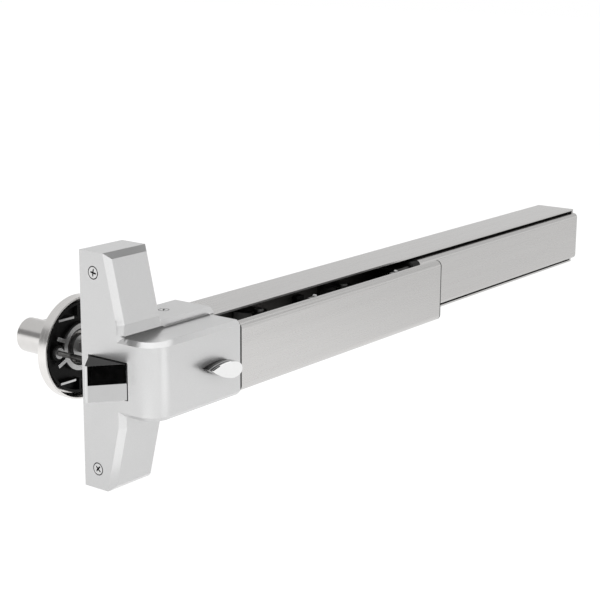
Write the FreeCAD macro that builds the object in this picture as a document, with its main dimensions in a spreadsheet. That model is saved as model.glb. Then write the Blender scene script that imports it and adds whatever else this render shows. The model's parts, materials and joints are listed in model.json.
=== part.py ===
import FreeCAD, Part
import math
import os
import re
import Sketcher

# Panic bar for the push side of a door, with the outside trim that is bolted to it through the door.
# Frame: X along the bar from the latch to the far end, Y through the door from the push side to the
# outside, Z up. The origin is the centre of the head's four fixing holes, in the door's face.

DOC = FreeCAD.newDocument("panic_bar")
VECTOR = FreeCAD.Vector
ROTATION = FreeCAD.Rotation

SIZES = [
    # Head cover
    ("bar_length", 650.0, "latch end face to the far end of the rail"),
    ("wing_width", 42.0, "width of the head's upright, along the bar"),
    ("wing_half_height", 84.5, "half the height of the head"),
    ("wing_root_depth", 37.5, "depth of the upright at the middle"),
    ("wing_tip_depth", 26.0, "depth of the upright at its ends"),
    ("taper_start", 36.5, "height over the middle where the upright begins to taper"),
    ("face_chamfer", 4.0, "chamfer round the upright's face"),
    ("strip_reach", 6.4, "cover's low strip beyond the deep middle part"),
    ("strip_half_height", 31.3, "half the height of the strip"),
    ("strip_corner_radius", 4.0, "inner corner between strip and upright"),
    ("nose_length", 90.2, "length of the deep middle part of the cover"),
    ("nose_depth", 67.0, "depth of the middle part, in line with the pad's face"),
    ("nose_half_height", 27.6, "half the height of the middle part"),
    ("nose_corner_radius", 16.5, "round corner of the middle part, seen from above"),
    ("nose_chamfer", 3.2, "chamfer along the middle part's top and bottom"),
    ("cover_wall", 2.4, "wall of the die-cast cover"),
    # Fixing plate in the head
    ("plate_thickness", 2.5, "fixing plate and its bent flanges"),
    ("plate_end_x", 52.0, "end of the fixing plate's flat part"),
    ("flange_end_x", 75.0, "end of the fixing plate's two flanges"),
    ("flange_half_height", 24.9, "outer face of the flanges"),
    ("flange_depth", 34.0, "depth of the flanges"),
    ("lug_width", 12.0, "lugs that take the end-face screws"),
    ("fixing_spacing_x", 26.0, "head fixing holes, across"),
    ("fixing_spacing_z", 108.0, "head fixing holes, up and down"),
    ("fixing_hole_radius", 2.75, "holes for 5 mm fixing screws"),
    ("end_screw_height", 70.0, "height of the two end-face screws over the middle"),
    ("end_screw_depth", 12.7, "depth of the end-face screws in front of the door"),
    ("end_screw_length", 9.0, "length of the end-face screws"),
    ("end_screw_head_radius", 4.7, "countersunk heads in the end face"),
    ("side_screw_x", 47.6, "place of the screws in the strip's top and bottom"),
    ("side_screw_depth", 14.0, "depth of the strip's screws in front of the door"),
    ("side_screw_length", 10.0, "length of the strip's screws"),
    ("side_screw_head_radius", 4.1, "countersunk heads in the strip"),
    ("screw_radius", 2.0, "shanks of the cover's screws"),
    # Latch
    ("latch_drop", 1.5, "axis of latch and thumbturn below the middle"),
    ("latch_half_height", 12.75, "half the height of the latch bolt"),
    ("latch_near", 7.0, "latch bolt, side next to the door"),
    ("latch_far", 42.0, "latch bolt, side next to the room"),
    ("latch_throw", 22.0, "how far the latch bolt stands out of the end face"),
    ("latch_travel", 21.0, "how far the latch bolt draws back"),
    ("latch_body_length", 25.0, "part of the latch bolt inside the head"),
    ("latch_nose_radius", 1.6, "rounding of the latch bolt's nose"),
    ("latch_gap", 0.65, "play between the latch bolt and its opening"),
    ("guide_length", 40.0, "latch guides"),
    ("latch_spring_offset", 7.9, "latch springs above and below the latch's axis"),
    ("latch_spring_radius", 2.9, "latch springs, to the middle of the wire"),
    ("latch_bore_radius", 4.0, "blind holes for the latch springs"),
    ("latch_bore_start", 6.0, "bottom of the blind holes behind the end face"),
    ("spring_stop_x", 29.0, "plates that the latch springs push against"),
    ("slide_thickness", 4.0, "plate behind the latch bolt"),
    ("slide_end_x", 42.0, "end of the plate behind the latch bolt"),
    ("slide_top_depth", 14.0, "edge of the latch slide next to the door"),
    ("leg_x", 33.0, "latch slide's legs, which the outside lever pulls"),
    ("leg_inner", 5.0, "half the gap between the two legs"),
    ("leg_outer", 14.0, "outer edge of the two legs"),
    ("leg_thickness", 3.0, "latch slide's cross plate and legs"),
    # Rail, filler and their ends
    ("rail_start_x", 40.0, "start of the rail's two tongues under the head cover"),
    ("rail_half_height", 26.7, "half the height of the rail"),
    ("rail_depth", 39.9, "depth of the rail"),
    ("rail_wall", 1.5, "sheet of the rail"),
    ("rail_bend_radius", 1.2, "outer bends of the rail"),
    ("filler_gap", 1.3, "pad's end to the start of the fixed filler cover"),
    ("filler_half_height", 22.85, "half the height of the filler cover"),
    ("filler_depth", 44.7, "face of the filler cover"),
    ("filler_back", 20.0, "back edge of the filler cover's flanges"),
    ("filler_corner_radius", 4.0, "rounded long edges of the filler cover"),
    ("filler_clip_length", 16.0, "clips that hold the filler cover in the rail"),
    ("filler_clip_depth", 38.0, "depth of the filler clips"),
    ("plug_length", 12.4, "black plug before the filler cover"),
    ("plug_spigot", 8.0, "part of the black plug inside the filler cover"),
    ("plug_wall", 2.0, "wall of the black plug"),
    ("end_plate", 3.0, "end plate of the rail"),
    ("end_fixing_inset", 19.0, "far fixing holes from the rail's end"),
    ("end_fixing_spacing", 28.0, "far fixing holes, up and down"),
    ("end_foot_length", 28.0, "foot of the end bracket"),
    ("end_foot_half_height", 20.0, "half the height of the end bracket"),
    ("end_bracket_depth", 30.0, "depth of the end bracket"),
    ("end_bracket_sheet", 3.0, "sheet of the end bracket"),
    # Push pad
    ("pad_length", 266.7, "length of the push pad"),
    ("pad_gap", 1.2, "gap between the head and the push pad"),
    ("pad_half_height", 25.8, "half the height of the push pad"),
    ("pad_flange", 5.5, "depth of the push pad's flanges"),
    ("pad_corner_radius", 4.8, "rounded long edges of the push pad"),
    ("pad_travel", 15.0, "how far the push pad goes in"),
    ("cap_rim", 1.0, "rim of the pad's end cap, over the skin's end"),
    ("cap_plug", 3.0, "part of the end cap inside the skin"),
    ("skin_wall", 1.2, "stainless sheet of pad and filler"),
    ("carrier_length", 40.0, "carriers behind the pad's skin"),
    ("carrier_sheet", 1.5, "sheet of the carriers"),
    ("carrier_ear_back", 56.0, "back edge of the carriers' riveted ears"),
    ("carrier_ear_width", 9.0, "riveted ears"),
    ("rivet_depth", 59.5, "rivets in front of the door"),
    ("rivet_radius", 1.6, "rivet heads"),
    ("rivet_edge", 0.6, "chamfered tops of the rivet heads"),
    ("rivet_top", 26.9, "tops of the rivet heads above the middle"),
    ("first_stud_inset", 97.1, "first rivets and pad pin, from the pad's start"),
    ("second_stud_inset", 58.8, "second rivets and pad pin, from the pad's end"),
    ("lug_inner", 7.0, "inner faces of the carriers' lugs"),
    ("lug_sheet", 2.5, "carriers' lugs"),
    ("lug_radius", 5.0, "round ends of the lugs"),
    ("lug_root", 12.0, "half the width of the lugs at their root"),
    # Linkage
    ("pivot_depth", 19.0, "rocker pivots in front of the door"),
    ("rocker_reach", 17.2, "rocker pivot to the pad's pin, along the bar"),
    ("rocker_thickness", 6.0, "rocker plate"),
    ("rocker_web", 9.5, "web between the rocker's arms"),
    ("rocker_rim", 2.0, "material round the rocker's slots"),
    ("rocker_play", 0.5, "play of the pins in the rocker's slots"),
    ("hub_radius", 5.5, "rocker hub"),
    ("hub_half_height", 9.7, "half the height of the rocker hub"),
    ("pin_radius", 2.0, "linkage pins"),
    ("pivot_radius", 2.5, "rocker pivots"),
    ("pivot_head_height", 1.2, "heads of the rocker pivots"),
    ("cheek_sheet", 2.0, "sheet of the rocker brackets"),
    ("cheek_radius", 6.0, "round ends of the rocker brackets' cheeks"),
    ("foot_reach", 12.0, "rocker brackets' feet beyond the pivot"),
    ("foot_half_height", 14.0, "half the height of the rocker brackets' feet"),
    ("rod_gap", 0.5, "rod above the rockers"),
    ("rod_width", 8.0, "actuating rod, front to back"),
    ("rod_thickness", 3.0, "actuating rod, up and down"),
    ("rod_start_x", 32.0, "latch end of the actuating rod"),
    ("rod_pin_x", 38.0, "pin that draws the latch slide"),
    ("rod_tail", 7.0, "rod beyond its last pin"),
    ("guide_x", 107.0, "first rod guide"),
    ("second_guide_shift", 7.9, "second rod guide before the middle between the pad's pins"),
    ("guide_width", 10.0, "rod guides, along the rod"),
    ("guide_rim", 1.2, "material round the rod in its guides"),
    ("guide_web", 4.8, "web of the rod guides"),
    ("guide_flange", 6.0, "foot of the rod guides"),
    ("collar_x", 60.0, "collar on the rod"),
    ("collar_width", 4.0, "collar on the rod"),
    ("collar_radius", 6.5, "collar on the rod"),
    ("return_spring_radius", 5.5, "return spring, to the middle of the wire"),
    ("wire_radius", 0.5, "wire of the springs"),
    ("stop_inset", 30.1, "stop bracket under the pad's far end"),
    ("stop_width", 19.0, "stop bracket, along the bar"),
    ("stop_half_height", 20.0, "half the height of the stop bracket"),
    ("stop_sheet", 2.0, "sheet of the stop bracket"),
    ("stop_depth", 42.0, "face of the stop bracket"),
    ("buffer_radius", 5.0, "rubber stop buffers"),
    ("buffer_offset", 10.0, "stop buffers above and below the middle"),
    # Thumbturn
    ("turn_x", 44.4, "thumbturn axis along the bar"),
    ("turn_length", 34.0, "long side of the thumbturn's grip"),
    ("turn_height", 12.3, "short side of the grip"),
    ("turn_widest", 7.0, "widest place of the grip beyond its axis"),
    ("turn_tilt", 9.7, "tilt of the grip at rest, in degrees"),
    ("turn_reach", 9.8, "how far the grip stands out"),
    ("turn_gap", 0.4, "gap between the grip's seat and the cover"),
    ("seat_depth", 3.2, "dark seat between the grip and the cover"),
    ("seat_inset", 0.5, "grip's edge beyond the seat's edge"),
    ("turn_end_radius", 4.5, "round end of the grip"),
    ("turn_edge", 0.5, "small chamfer round the grip's face"),
    ("turn_shaft_radius", 4.0, "thumbturn shaft"),
    ("cam_depth", 51.0, "back of the holding cam in front of the door"),
    ("cam_thickness", 3.0, "holding cam"),
    ("cam_reach", 9.0, "holding cam beyond the thumbturn's axis"),
    ("cam_half_width", 3.5, "half the width of the holding cam"),
    ("cam_rim", 2.5, "material round the shaft in the holding cam"),
    # Outside trim
    ("door_thickness", 40.0, "door between the head and the outside trim"),
    ("spindle_x", 21.0, "axis of spindle, rose and lever"),
    ("spindle_side", 7.0, "square spindle"),
    ("spindle_clearance", 1.5, "room round the spindle in the fixing plate"),
    ("spindle_end", 6.0, "end of the spindle in the head, in front of the door"),
    ("retractor_half_length", 12.0, "half the length of the retractor cam"),
    ("retractor_width", 6.0, "retractor cam"),
    ("rose_radius", 38.5, "outside rose"),
    ("rose_depth", 10.6, "outside rose, depth"),
    ("rose_wall", 1.3, "outside rose, sheet"),
    ("rose_edge", 2.5, "bevelled edge of the rose"),
    ("post_offset", 23.4, "rose posts on each side of the spindle"),
    ("post_radius", 4.0, "threaded posts of the rose"),
    ("post_recess", 1.2, "posts behind the rose's open face"),
    ("post_rim", 1.7, "insert round the posts"),
    ("bolt_radius", 1.95, "through bolts"),
    ("bolt_head_radius", 3.8, "heads of the through bolts"),
    ("bolt_head_height", 2.6, "heads of the through bolts"),
    ("bolt_socket_radius", 1.5, "sockets of the through bolts"),
    ("bolt_grip", 6.0, "through bolts in the posts"),
    ("cage_inner", 13.6, "bore of the rose's insert"),
    ("cage_step", 18.2, "raised ring of the rose's insert"),
    ("cage_radius", 34.0, "insert of the rose"),
    ("cage_rim", 2.0, "rim of the insert"),
    ("cage_floor", 2.4, "floor of the insert"),
    ("cage_ring_depth", 5.0, "raised ring of the insert, from the rose's floor"),
    ("cage_rim_depth", 6.5, "rim of the insert, from the rose's floor"),
    ("rib_thickness", 1.6, "ribs of the insert"),
    ("rib_height", 23.5, "level of the insert's long ribs"),
    ("rib_start", 7.5, "inner ends of the long ribs"),
    ("rib_length", 15.0, "long ribs"),
    ("rib_strip", 0.8, "bright strips on the long ribs' edges"),
    ("short_rib_offset", 2.7, "upright ribs beside the axis"),
    ("ring_inner", 13.9, "ring plate"),
    ("ring_outer", 17.5, "ring plate"),
    ("ring_thickness", 1.5, "ring plate"),
    ("arm_reach", 25.5, "arms of the ring plate, from the axis"),
    ("arm_width", 2.8, "arms of the ring plate"),
    ("arm_angle", 24.0, "arms of the ring plate, from the level line, in degrees"),
    ("lever_hub_radius", 13.0, "hub of the outside lever"),
    ("lever_hub_length", 48.5, "hub of the outside lever, from the rose outwards"),
    ("lever_hub_seat", 1.5, "hub of the outside lever inside the rose"),
    ("core_radius", 9.5, "core of the lever, seen in the rose"),
    ("core_length", 6.0, "core of the lever, seen in the rose"),
    ("core_stub", 12.0, "core of the lever inside the hub"),
    ("lever_length", 115.0, "outside lever, spindle axis to tip"),
    ("lever_grip_inset", 11.5, "middle of the grip from the hub's end"),
    ("lever_height", 20.0, "grip of the outside lever, up and down"),
    ("lever_round", 4.8, "rounded edges of the outside lever's grip"),
    ("lever_bow_radius", 900.0, "gentle bow of the outside lever"),
    ("lever_drop", 3.0, "tip of the outside lever, nearer to the door than its root"),
    ("lever_taper", 4.0, "bevel of the outside lever's tip, on the door's side"),
    ("lever_thickness", 12.0, "grip of the outside lever, front to back"),
    ("key_plug_radius", 6.2, "key plug"),
    ("key_plug_length", 24.0, "key plug"),
    ("keyway_depth", 12.0, "keyway"),
    ("tail_length", 9.0, "tail of the key plug"),
    ("keyway_width", 1.4, "keyway"),
    ("keyway_low", 4.2, "keyway below the plug's axis"),
    ("keyway_high", 3.2, "keyway above the plug's axis"),
    ("ward_size", 1.6, "step in the keyway"),
    ("tail_half_width", 3.0, "half the width of the key plug's tail"),
    ("tail_thickness", 2.0, "key plug's tail"),
    # Clearances
    ("running_gap", 0.05, "radial play of pins and shafts"),
    ("loose_gap", 0.3, "play between pieces that pass each other"),
    ("overrun", 1.0, "how far cutting shapes run past, and joined shapes into, a face"),
]

SHEET = DOC.addObject("Spreadsheet::Sheet", "sizes")
for number, (alias, value, meaning) in enumerate(SIZES, start=1):
    SHEET.set(f"A{number}", meaning)
    SHEET.set(f"B{number}", str(value))
    SHEET.setAlias(f"B{number}", alias)
DOC.recompute()

COIL_STEPS = 12
LATCH_SPRING_TURNS = 8
RETURN_SPRING_TURNS = 9
LEVER_SPRING_TURNS = 2
TOUCH = 0.01
ALIASES = {alias for alias, value, meaning in SIZES}
NODES = {}

# Places that several pieces share, worked out from the sizes
END_FACE = "(-wing_width/2)"
NOSE_END = f"({END_FACE} + nose_length)"
STRIP_END = f"({NOSE_END} + strip_reach)"
FAR_END = f"({END_FACE} + bar_length)"
PLATE_START = f"({END_FACE} + cover_wall + loose_gap)"
FLANGE_INNER = "(flange_half_height - plate_thickness)"
LATCH_MIDDLE = "(-(latch_near + latch_far)/2)"
RAIL_INNER = "(rail_half_height - rail_wall)"
FILLER_INNER = "(filler_half_height - skin_wall)"
END_STOP = f"({FAR_END} - end_plate)"
PAD_START = f"({NOSE_END} + pad_gap)"
PAD_END = f"({PAD_START} + pad_length)"
FIRST_STUD = f"({PAD_START} + first_stud_inset)"
SECOND_STUD = f"({PAD_END} - second_stud_inset)"
SECOND_GUIDE = f"(({FIRST_STUD} + {SECOND_STUD})/2 - second_guide_shift)"
STOP_START = f"({PAD_END} - stop_inset)"
FILLER_START = f"({PAD_END} + filler_gap)"
PAD_INNER = "(nose_depth - skin_wall)"
PAD_INNER_HALF = "(pad_half_height - skin_wall)"
PIN_DEPTH = "(pivot_depth + pad_travel/2)"
ROD_OFFSET = "(rocker_reach*latch_travel/pad_travel)"
ROD_DEPTH = f"(pivot_depth + {ROD_OFFSET})"
ROD_LOW = "(rocker_thickness/2 + rod_gap)"
ROD_TOP = f"({ROD_LOW} + rod_thickness)"
REST_ANGLE = "-atan(pad_travel/(2*rocker_reach))"
STUDS = {"front": FIRST_STUD, "rear": SECOND_STUD}
ROSE_FACE = "(door_thickness + rose_depth)"
ROSE_FLOOR = f"({ROSE_FACE} - rose_wall)"
HUB_START = f"({ROSE_FLOOR} - lever_hub_seat)"
HUB_END = f"({ROSE_FACE} + lever_hub_length)"


def link(text):
    """Puts the sheet's name before each size that an expression names."""
    return re.sub(r"[A-Za-z_]\w*", lambda word: "sizes." * (word.group() in ALIASES) + word.group(),
                  str(text))


def number_of(text):
    """The present value of an expression."""
    value = SHEET.evalExpression(link(text))
    return float(getattr(value, "Value", value))


def bind(thing, **expressions):
    """Ties properties to expressions; a double underscore stands for a dot."""
    for name, text in expressions.items():
        thing.setExpression(name.replace("__", "."), link(text))


def place(thing, x="0", y="0", z="0"):
    """Sets a piece's place by expressions."""
    bind(thing, Placement__Base__x=x, Placement__Base__y=y, Placement__Base__z=z)
    return thing


def turn(thing, axis, angle):
    """Turns a piece about an axis through its own origin, by an expression."""
    thing.Placement = FreeCAD.Placement(VECTOR(0, 0, 0), ROTATION(VECTOR(*axis), 1.0))
    bind(thing, Placement__Rotation__Angle=angle)
    return thing


def node(thing, name):
    """Names a finished sub-part."""
    thing.Label = name
    NODES[name] = thing
    return thing


def box(x, y, z, length, width, height):
    """A block from its low corner and its three sides."""
    block = DOC.addObject("Part::Box", "block")
    bind(block, Length=length, Width=width, Height=height)
    return place(block, x, y, z)


def slab(x, y, half_height, length, width):
    """A block whose middle lies on the bar's middle line."""
    return box(x, y, f"-({half_height})", length, width, f"2*({half_height})")


TURN_TO = {"X": (VECTOR(0, 1, 0), 90), "Y": (VECTOR(1, 0, 0), -90), "Z": (VECTOR(0, 0, 1), 0)}


def aim(thing, axis, x, y, z):
    """Points a round piece along a frame axis and sets its foot."""
    thing.Placement = FreeCAD.Placement(VECTOR(0, 0, 0), ROTATION(*TURN_TO[axis]))
    return place(thing, x, y, z)


def rod(axis, x, y, z, radius, length):
    """A cylinder that starts at a point and runs along a frame axis."""
    cylinder = DOC.addObject("Part::Cylinder", "cylinder")
    bind(cylinder, Radius=radius, Height=length)
    return aim(cylinder, axis, x, y, z)


def cone(axis, x, y, z, start, end, length):
    """A cone that starts at a point and runs along a frame axis."""
    taper = DOC.addObject("Part::Cone", "cone")
    bind(taper, Radius1=start, Radius2=end, Height=length)
    return aim(taper, axis, x, y, z)


def fuse(*shapes):
    """Joins shapes into one, with the seams between flat faces removed."""
    union = DOC.addObject("Part::MultiFuse", "union")
    union.Shapes = list(shapes)
    union.Refine = True
    return union


def group(*shapes):
    """Keeps like pieces together as separate solids of one sub-part."""
    kit = DOC.addObject("Part::Compound", "kit")
    kit.Links = list(shapes)
    return kit


def cut(base, *tools):
    """Takes tools away from a shape."""
    remainder = DOC.addObject("Part::Cut", "cut")
    remainder.Base = base
    remainder.Tool = tools[0] if len(tools) == 1 else fuse(*tools)
    remainder.Refine = True
    return remainder


def slot(x, y, z, radius, length, height, axis="X"):
    """A long hole's solid: two round ends, a length apart along X or Y, and what lies between."""
    if axis == "X":
        middle = box(x, f"{y} - {radius}", z, length, f"2*{radius}", height)
        far = rod("Z", f"{x} + {length}", y, z, radius, height)
    else:
        middle = box(f"{x} - {radius}", y, z, f"2*{radius}", length, height)
        far = rod("Z", x, f"{y} + {length}", z, radius, height)
    return fuse(rod("Z", x, y, z, radius, height), far, middle)


def plane(owner, role):
    """One of a body's own origin planes."""
    return [item for item in owner.Origin.OriginFeatures if item.Role == role][0]


def arc_between(start, end, radius):
    """A short arc that bulges to the left of the way; it runs counterclockwise from end to start."""
    chord = end - start
    left = VECTOR(-chord.y, chord.x, 0).normalize()
    centre = (start + end) * 0.5 - left * math.sqrt(radius ** 2 - chord.Length ** 2 / 4)
    first = math.atan2(end.y - centre.y, end.x - centre.x)
    last = math.atan2(start.y - centre.y, start.x - centre.x)
    if last < first:
        last += 2 * math.pi
    return Part.ArcOfCircle(Part.Circle(centre, VECTOR(0, 0, 1), radius), first, last)


def hold_point(drawing, geometry, end, x, y):
    """Holds a sketch point by its two distances from the origin."""
    for kind, text in (("DistanceX", x), ("DistanceY", y)):
        held = drawing.addConstraint(Sketcher.Constraint(kind, -1, 1, geometry, end, number_of(text)))
        drawing.setExpression(f"Constraints[{held}]", link(text))


def hold_radius(drawing, geometry, radius):
    """Holds the radius of an arc or a circle."""
    held = drawing.addConstraint(Sketcher.Constraint("Radius", geometry, number_of(radius)))
    drawing.setExpression(f"Constraints[{held}]", link(radius))


def sketch(owner, role, outlines=(), circles=(), lift="0"):
    """Closed outlines and circles on an origin plane, held by expressions.

    A corner is (x, y), or (x, y, radius) where an arc leads to the next corner.
    """
    drawing = owner.newObject("Sketcher::SketchObject", "profile")
    drawing.AttachmentSupport = [(plane(owner, role), "")]
    drawing.MapMode = "FlatFace"
    bind(drawing, AttachmentOffset__Base__z=lift)
    for corners in outlines:
        spots = [VECTOR(number_of(corner[0]), number_of(corner[1]), 0) for corner in corners]
        first = drawing.GeometryCount
        ends = []
        for index, spot in enumerate(spots):
            following = spots[(index + 1) % len(spots)]
            if len(corners[index]) == 3:
                drawing.addGeometry(arc_between(spot, following, number_of(corners[index][2])), False)
                ends.append((2, 1))
            else:
                drawing.addGeometry(Part.LineSegment(spot, following), False)
                ends.append((1, 2))
        for index, corner in enumerate(corners):
            following = (index + 1) % len(corners)
            drawing.addConstraint(Sketcher.Constraint("Coincident", first + index, ends[index][1],
                                                      first + following, ends[following][0]))
            hold_point(drawing, first + index, ends[index][0], corner[0], corner[1])
            if len(corner) == 3:
                hold_radius(drawing, first + index, corner[2])
    for x, y, radius in circles:
        centre = VECTOR(number_of(x), number_of(y), 0)
        ring = drawing.addGeometry(Part.Circle(centre, VECTOR(0, 0, 1), number_of(radius)), False)
        hold_point(drawing, ring, 3, x, y)
        hold_radius(drawing, ring, radius)
    return drawing


def body(name):
    """An empty solid body for sketches and features."""
    return DOC.addObject("PartDesign::Body", name)


def pad(owner, drawing, length, middle=False):
    """Thickens a sketch, to one side or to both."""
    solid = owner.newObject("PartDesign::Pad", "pad")
    solid.Profile = drawing
    solid.Midplane = middle
    bind(solid, Length=length)
    return solid


def pocket(owner, drawing, length, middle=False):
    """Cuts a sketch into the body and makes sure that it took material away."""
    DOC.recompute()
    before = owner.Shape.Volume
    recess = owner.newObject("PartDesign::Pocket", "pocket")
    recess.Profile = drawing
    recess.Midplane = middle
    bind(recess, Length=length)
    DOC.recompute()
    if recess.Shape.Volume >= before:
        raise RuntimeError(f"a pocket of {owner.Name} cut nothing")
    return recess


def turned(name, outline):
    """A round piece about the spindle's axis, from half a section given as radius and depth."""
    owner = body(name)
    drawing = sketch(owner, "XY_Plane", [outline])
    solid = owner.newObject("PartDesign::Revolution", "turning")
    solid.Profile = drawing
    solid.ReferenceAxis = (drawing, ["V_Axis"])
    solid.Angle = 360.0
    return place(owner, "spindle_x")


def dress(owner, kind, base, test, **expressions):
    """A fillet or chamfer on the edges whose two ends and middle all pass a test."""
    DOC.recompute()
    names = []
    for index, edge in enumerate(base.Shape.Edges, start=1):
        spots = [vertex.Point for vertex in edge.Vertexes]
        spots.append(edge.valueAt((edge.FirstParameter + edge.LastParameter) / 2))
        if all(test(spot) for spot in spots):
            names.append(f"Edge{index}")
    if not names:
        raise RuntimeError(f"{owner.Name} has no edge at the place named")
    feature = owner.newObject(f"PartDesign::{kind}", kind.lower())
    feature.Base = (base, names)
    bind(feature, **expressions)
    DOC.recompute()
    return feature


def near(value, target):
    """True where two lengths agree."""
    return abs(value - target) < TOUCH


def channel(name, half, back, front, wall, start, length, radius):
    """A channel that opens towards the door, with rounded outer and inner long edges."""
    owner = body(name)
    outline = [(f"-({back})", half), (f"-({front})", half), (f"-({front})", f"-({half})"),
               (f"-({back})", f"-({half})"), (f"-({back})", f"-({half} - {wall})"),
               (f"-({front} - {wall})", f"-({half} - {wall})"),
               (f"-({front} - {wall})", f"{half} - {wall}"), (f"-({back})", f"{half} - {wall}")]
    solid = pad(owner, sketch(owner, "YZ_Plane", [outline], lift=start), length)
    face = -number_of(front)
    top = number_of(half)
    inner_face = -number_of(f"{front} - {wall}")
    inner_top = number_of(f"{half} - {wall}")
    outer = dress(owner, "Fillet", solid,
                  lambda spot: near(spot.y, face) and near(abs(spot.z), top), Radius=radius)
    dress(owner, "Fillet", outer,
          lambda spot: near(spot.y, inner_face) and near(abs(spot.z), inner_top),
          Radius=f"{radius} - {wall}")
    return owner


def coil(axis, x, y, z, radius, wire, length, turns):
    """An open coil spring between two faces, as one unbroken wire of short lengths of a hexagon."""
    wide = number_of(radius)
    thick = number_of(wire)
    rise = (number_of(length) - 2 * thick) / (turns * COIL_STEPS)
    spots = []
    for count in range(turns * COIL_STEPS + 1):
        angle = 2 * math.pi * count / COIL_STEPS
        spots.append(VECTOR(wide * math.cos(angle), wide * math.sin(angle), rise * count))
    path = DOC.addObject("Part::Polygon", "wire_path")
    path.Nodes = spots
    ring = DOC.addObject("Part::RegularPolygon", "wire_section")
    ring.Polygon = 6
    ring.Placement = FreeCAD.Placement(spots[0], ROTATION(VECTOR(0, 0, 1), spots[1] - spots[0]))
    bind(ring, Circumradius=wire)
    DOC.recompute()
    wound = DOC.addObject("Part::Sweep", "wound")
    wound.Sections = [ring]
    wound.Spine = (path, [f"Edge{index + 1}" for index in range(len(path.Shape.Edges))])
    wound.Solid = True
    wound.Transition = "Right corner"
    offset = {"X": (f"{x} + {wire}", y, z), "Y": (x, f"{y} + {wire}", z), "Z": (x, y, f"{z} + {wire}")}
    return aim(wound, axis, *offset[axis])


def screw(axis, x, y, z, inwards, head, shank, length):
    """A countersunk screw whose head lies at the point; it runs up or down a frame axis."""
    depth = f"({head} - ({shank}))"
    if inwards > 0:
        return fuse(cone(axis, x, y, z, head, shank, depth), rod(axis, x, y, z, shank, length))
    return fuse(cone(axis, x, y, f"{z} - {depth}", shank, head, depth),
                rod(axis, x, y, f"{z} - ({length})", shank, length))


# Head cover: a tapered upright and strip, joined to the deep nose, then hollowed

def upright_block(name, shrink, overrun):
    """Upright and strip as one flat block, drawn in by a wall for the hollow."""
    owner = body(name)
    left = f"{END_FACE} + {shrink}"
    right = f"-{END_FACE} - {shrink}"
    top = f"wing_half_height - {shrink}"
    low = f"strip_half_height - {shrink}"
    end = f"{STRIP_END} - {shrink}"
    outline = [(left, f"-({top})"), (right, f"-({top})"), (right, f"-({low})"), (end, f"-({low})"),
               (end, low), (right, low), (right, top), (left, top)]
    front = sketch(owner, "XZ_Plane", [outline], lift=f"-({overrun})")
    pad(owner, front, f"wing_root_depth - {shrink} + {overrun}")
    return owner


def on_upright_rim(spot):
    """True on the rim of the flat block's face, but not at the strip's far end or at the tips."""
    half = number_of("wing_width/2")
    strip_side = spot.x > half - TOUCH and abs(spot.z) > number_of("strip_half_height") - TOUCH
    return near(spot.y, -number_of("wing_root_depth")) and (near(spot.x, -half) or strip_side)


def wing_form(sign):
    """The space of one wing under its tapered face, with the chamfer round that face."""
    owner = body("wing")
    slope = "(wing_root_depth - wing_tip_depth)/(wing_half_height - taper_start)"
    tip = f"{sign}*wing_half_height"
    outline = [("0", "0"), ("0", tip), ("-wing_tip_depth", tip),
               (f"-(wing_tip_depth + {slope}*wing_half_height)", "0")]
    solid = pad(owner, sketch(owner, "YZ_Plane", [outline]), "wing_width", middle=True)
    half = number_of("wing_width/2")
    top = number_of("wing_half_height")
    depth = number_of("wing_tip_depth")
    rise = number_of(slope)
    dress(owner, "Chamfer", solid, lambda spot: near(spot.y, -depth - rise * (top - abs(spot.z)))
          and (near(abs(spot.x), half) or near(abs(spot.z), top)), Size="face_chamfer")
    return owner


def upright_form():
    """The outside of the cover's upright and strip: a flat block held to the wings' spaces."""
    block = upright_block("cover_upright", "0", "0")
    half = number_of("wing_width/2")
    low = number_of("strip_half_height")
    rounded = dress(block, "Fillet", block.Tip,
                    lambda spot: near(spot.x, half) and near(abs(spot.z), low),
                    Radius="strip_corner_radius")
    dress(block, "Chamfer", rounded, on_upright_rim, Size="face_chamfer")
    strip_space = slab("0", "-(wing_root_depth + overrun)", "(strip_half_height + strip_corner_radius)",
                       f"{STRIP_END} + overrun", "wing_root_depth + overrun")
    spaces = fuse(wing_form(1), wing_form(-1), strip_space)
    common = DOC.addObject("Part::Common", "upright")
    common.Base = block
    common.Tool = spaces
    common.Refine = True
    return common


def upright_hollow():
    """The hollow behind the upright and strip, parallel to their faces."""
    owner = upright_block("cover_hollow", "cover_wall", "1")
    root = "-(wing_root_depth - cover_wall)"
    tip = "-(wing_tip_depth - cover_wall)"
    wedges = []
    for side in ("", "-"):
        wedges.append([(root, f"{side}taper_start"), (tip, f"{side}wing_half_height"),
                       (tip, f"{side}(wing_half_height + overrun)"),
                       (f"{root} - overrun", f"{side}(wing_half_height + overrun)"),
                       (f"{root} - overrun", f"{side}taper_start")])
    pocket(owner, sketch(owner, "YZ_Plane", wedges), "2*wing_width", middle=True)
    return owner


def nose_form(name, start, end, shrink, corner):
    """The deep middle of the cover with its round corner, drawn in by a wall for the hollow."""
    owner = body(name)
    face = f"-(nose_depth - {shrink})"
    outline = [(start, face), (end, face), (end, "-wing_tip_depth"), (start, "-wing_tip_depth")]
    solid = pad(owner, sketch(owner, "XY_Plane", [outline]), f"2*(nose_half_height - {shrink})",
                middle=True)
    left = number_of(start)
    front = number_of(face)
    dress(owner, "Fillet", solid, lambda spot: near(spot.x, left) and near(spot.y, front),
          Radius=corner)
    return owner


def on_nose_rim(spot):
    """True on the nose's long edges: its left side, round corner and face, above and below."""
    back_edge = near(spot.y, -number_of("wing_tip_depth")) and spot.x > number_of(END_FACE) + TOUCH
    end_edge = near(spot.x, number_of(NOSE_END)) and spot.y > TOUCH - number_of("nose_depth")
    return near(abs(spot.z), number_of("nose_half_height")) and not back_edge and not end_edge


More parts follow.
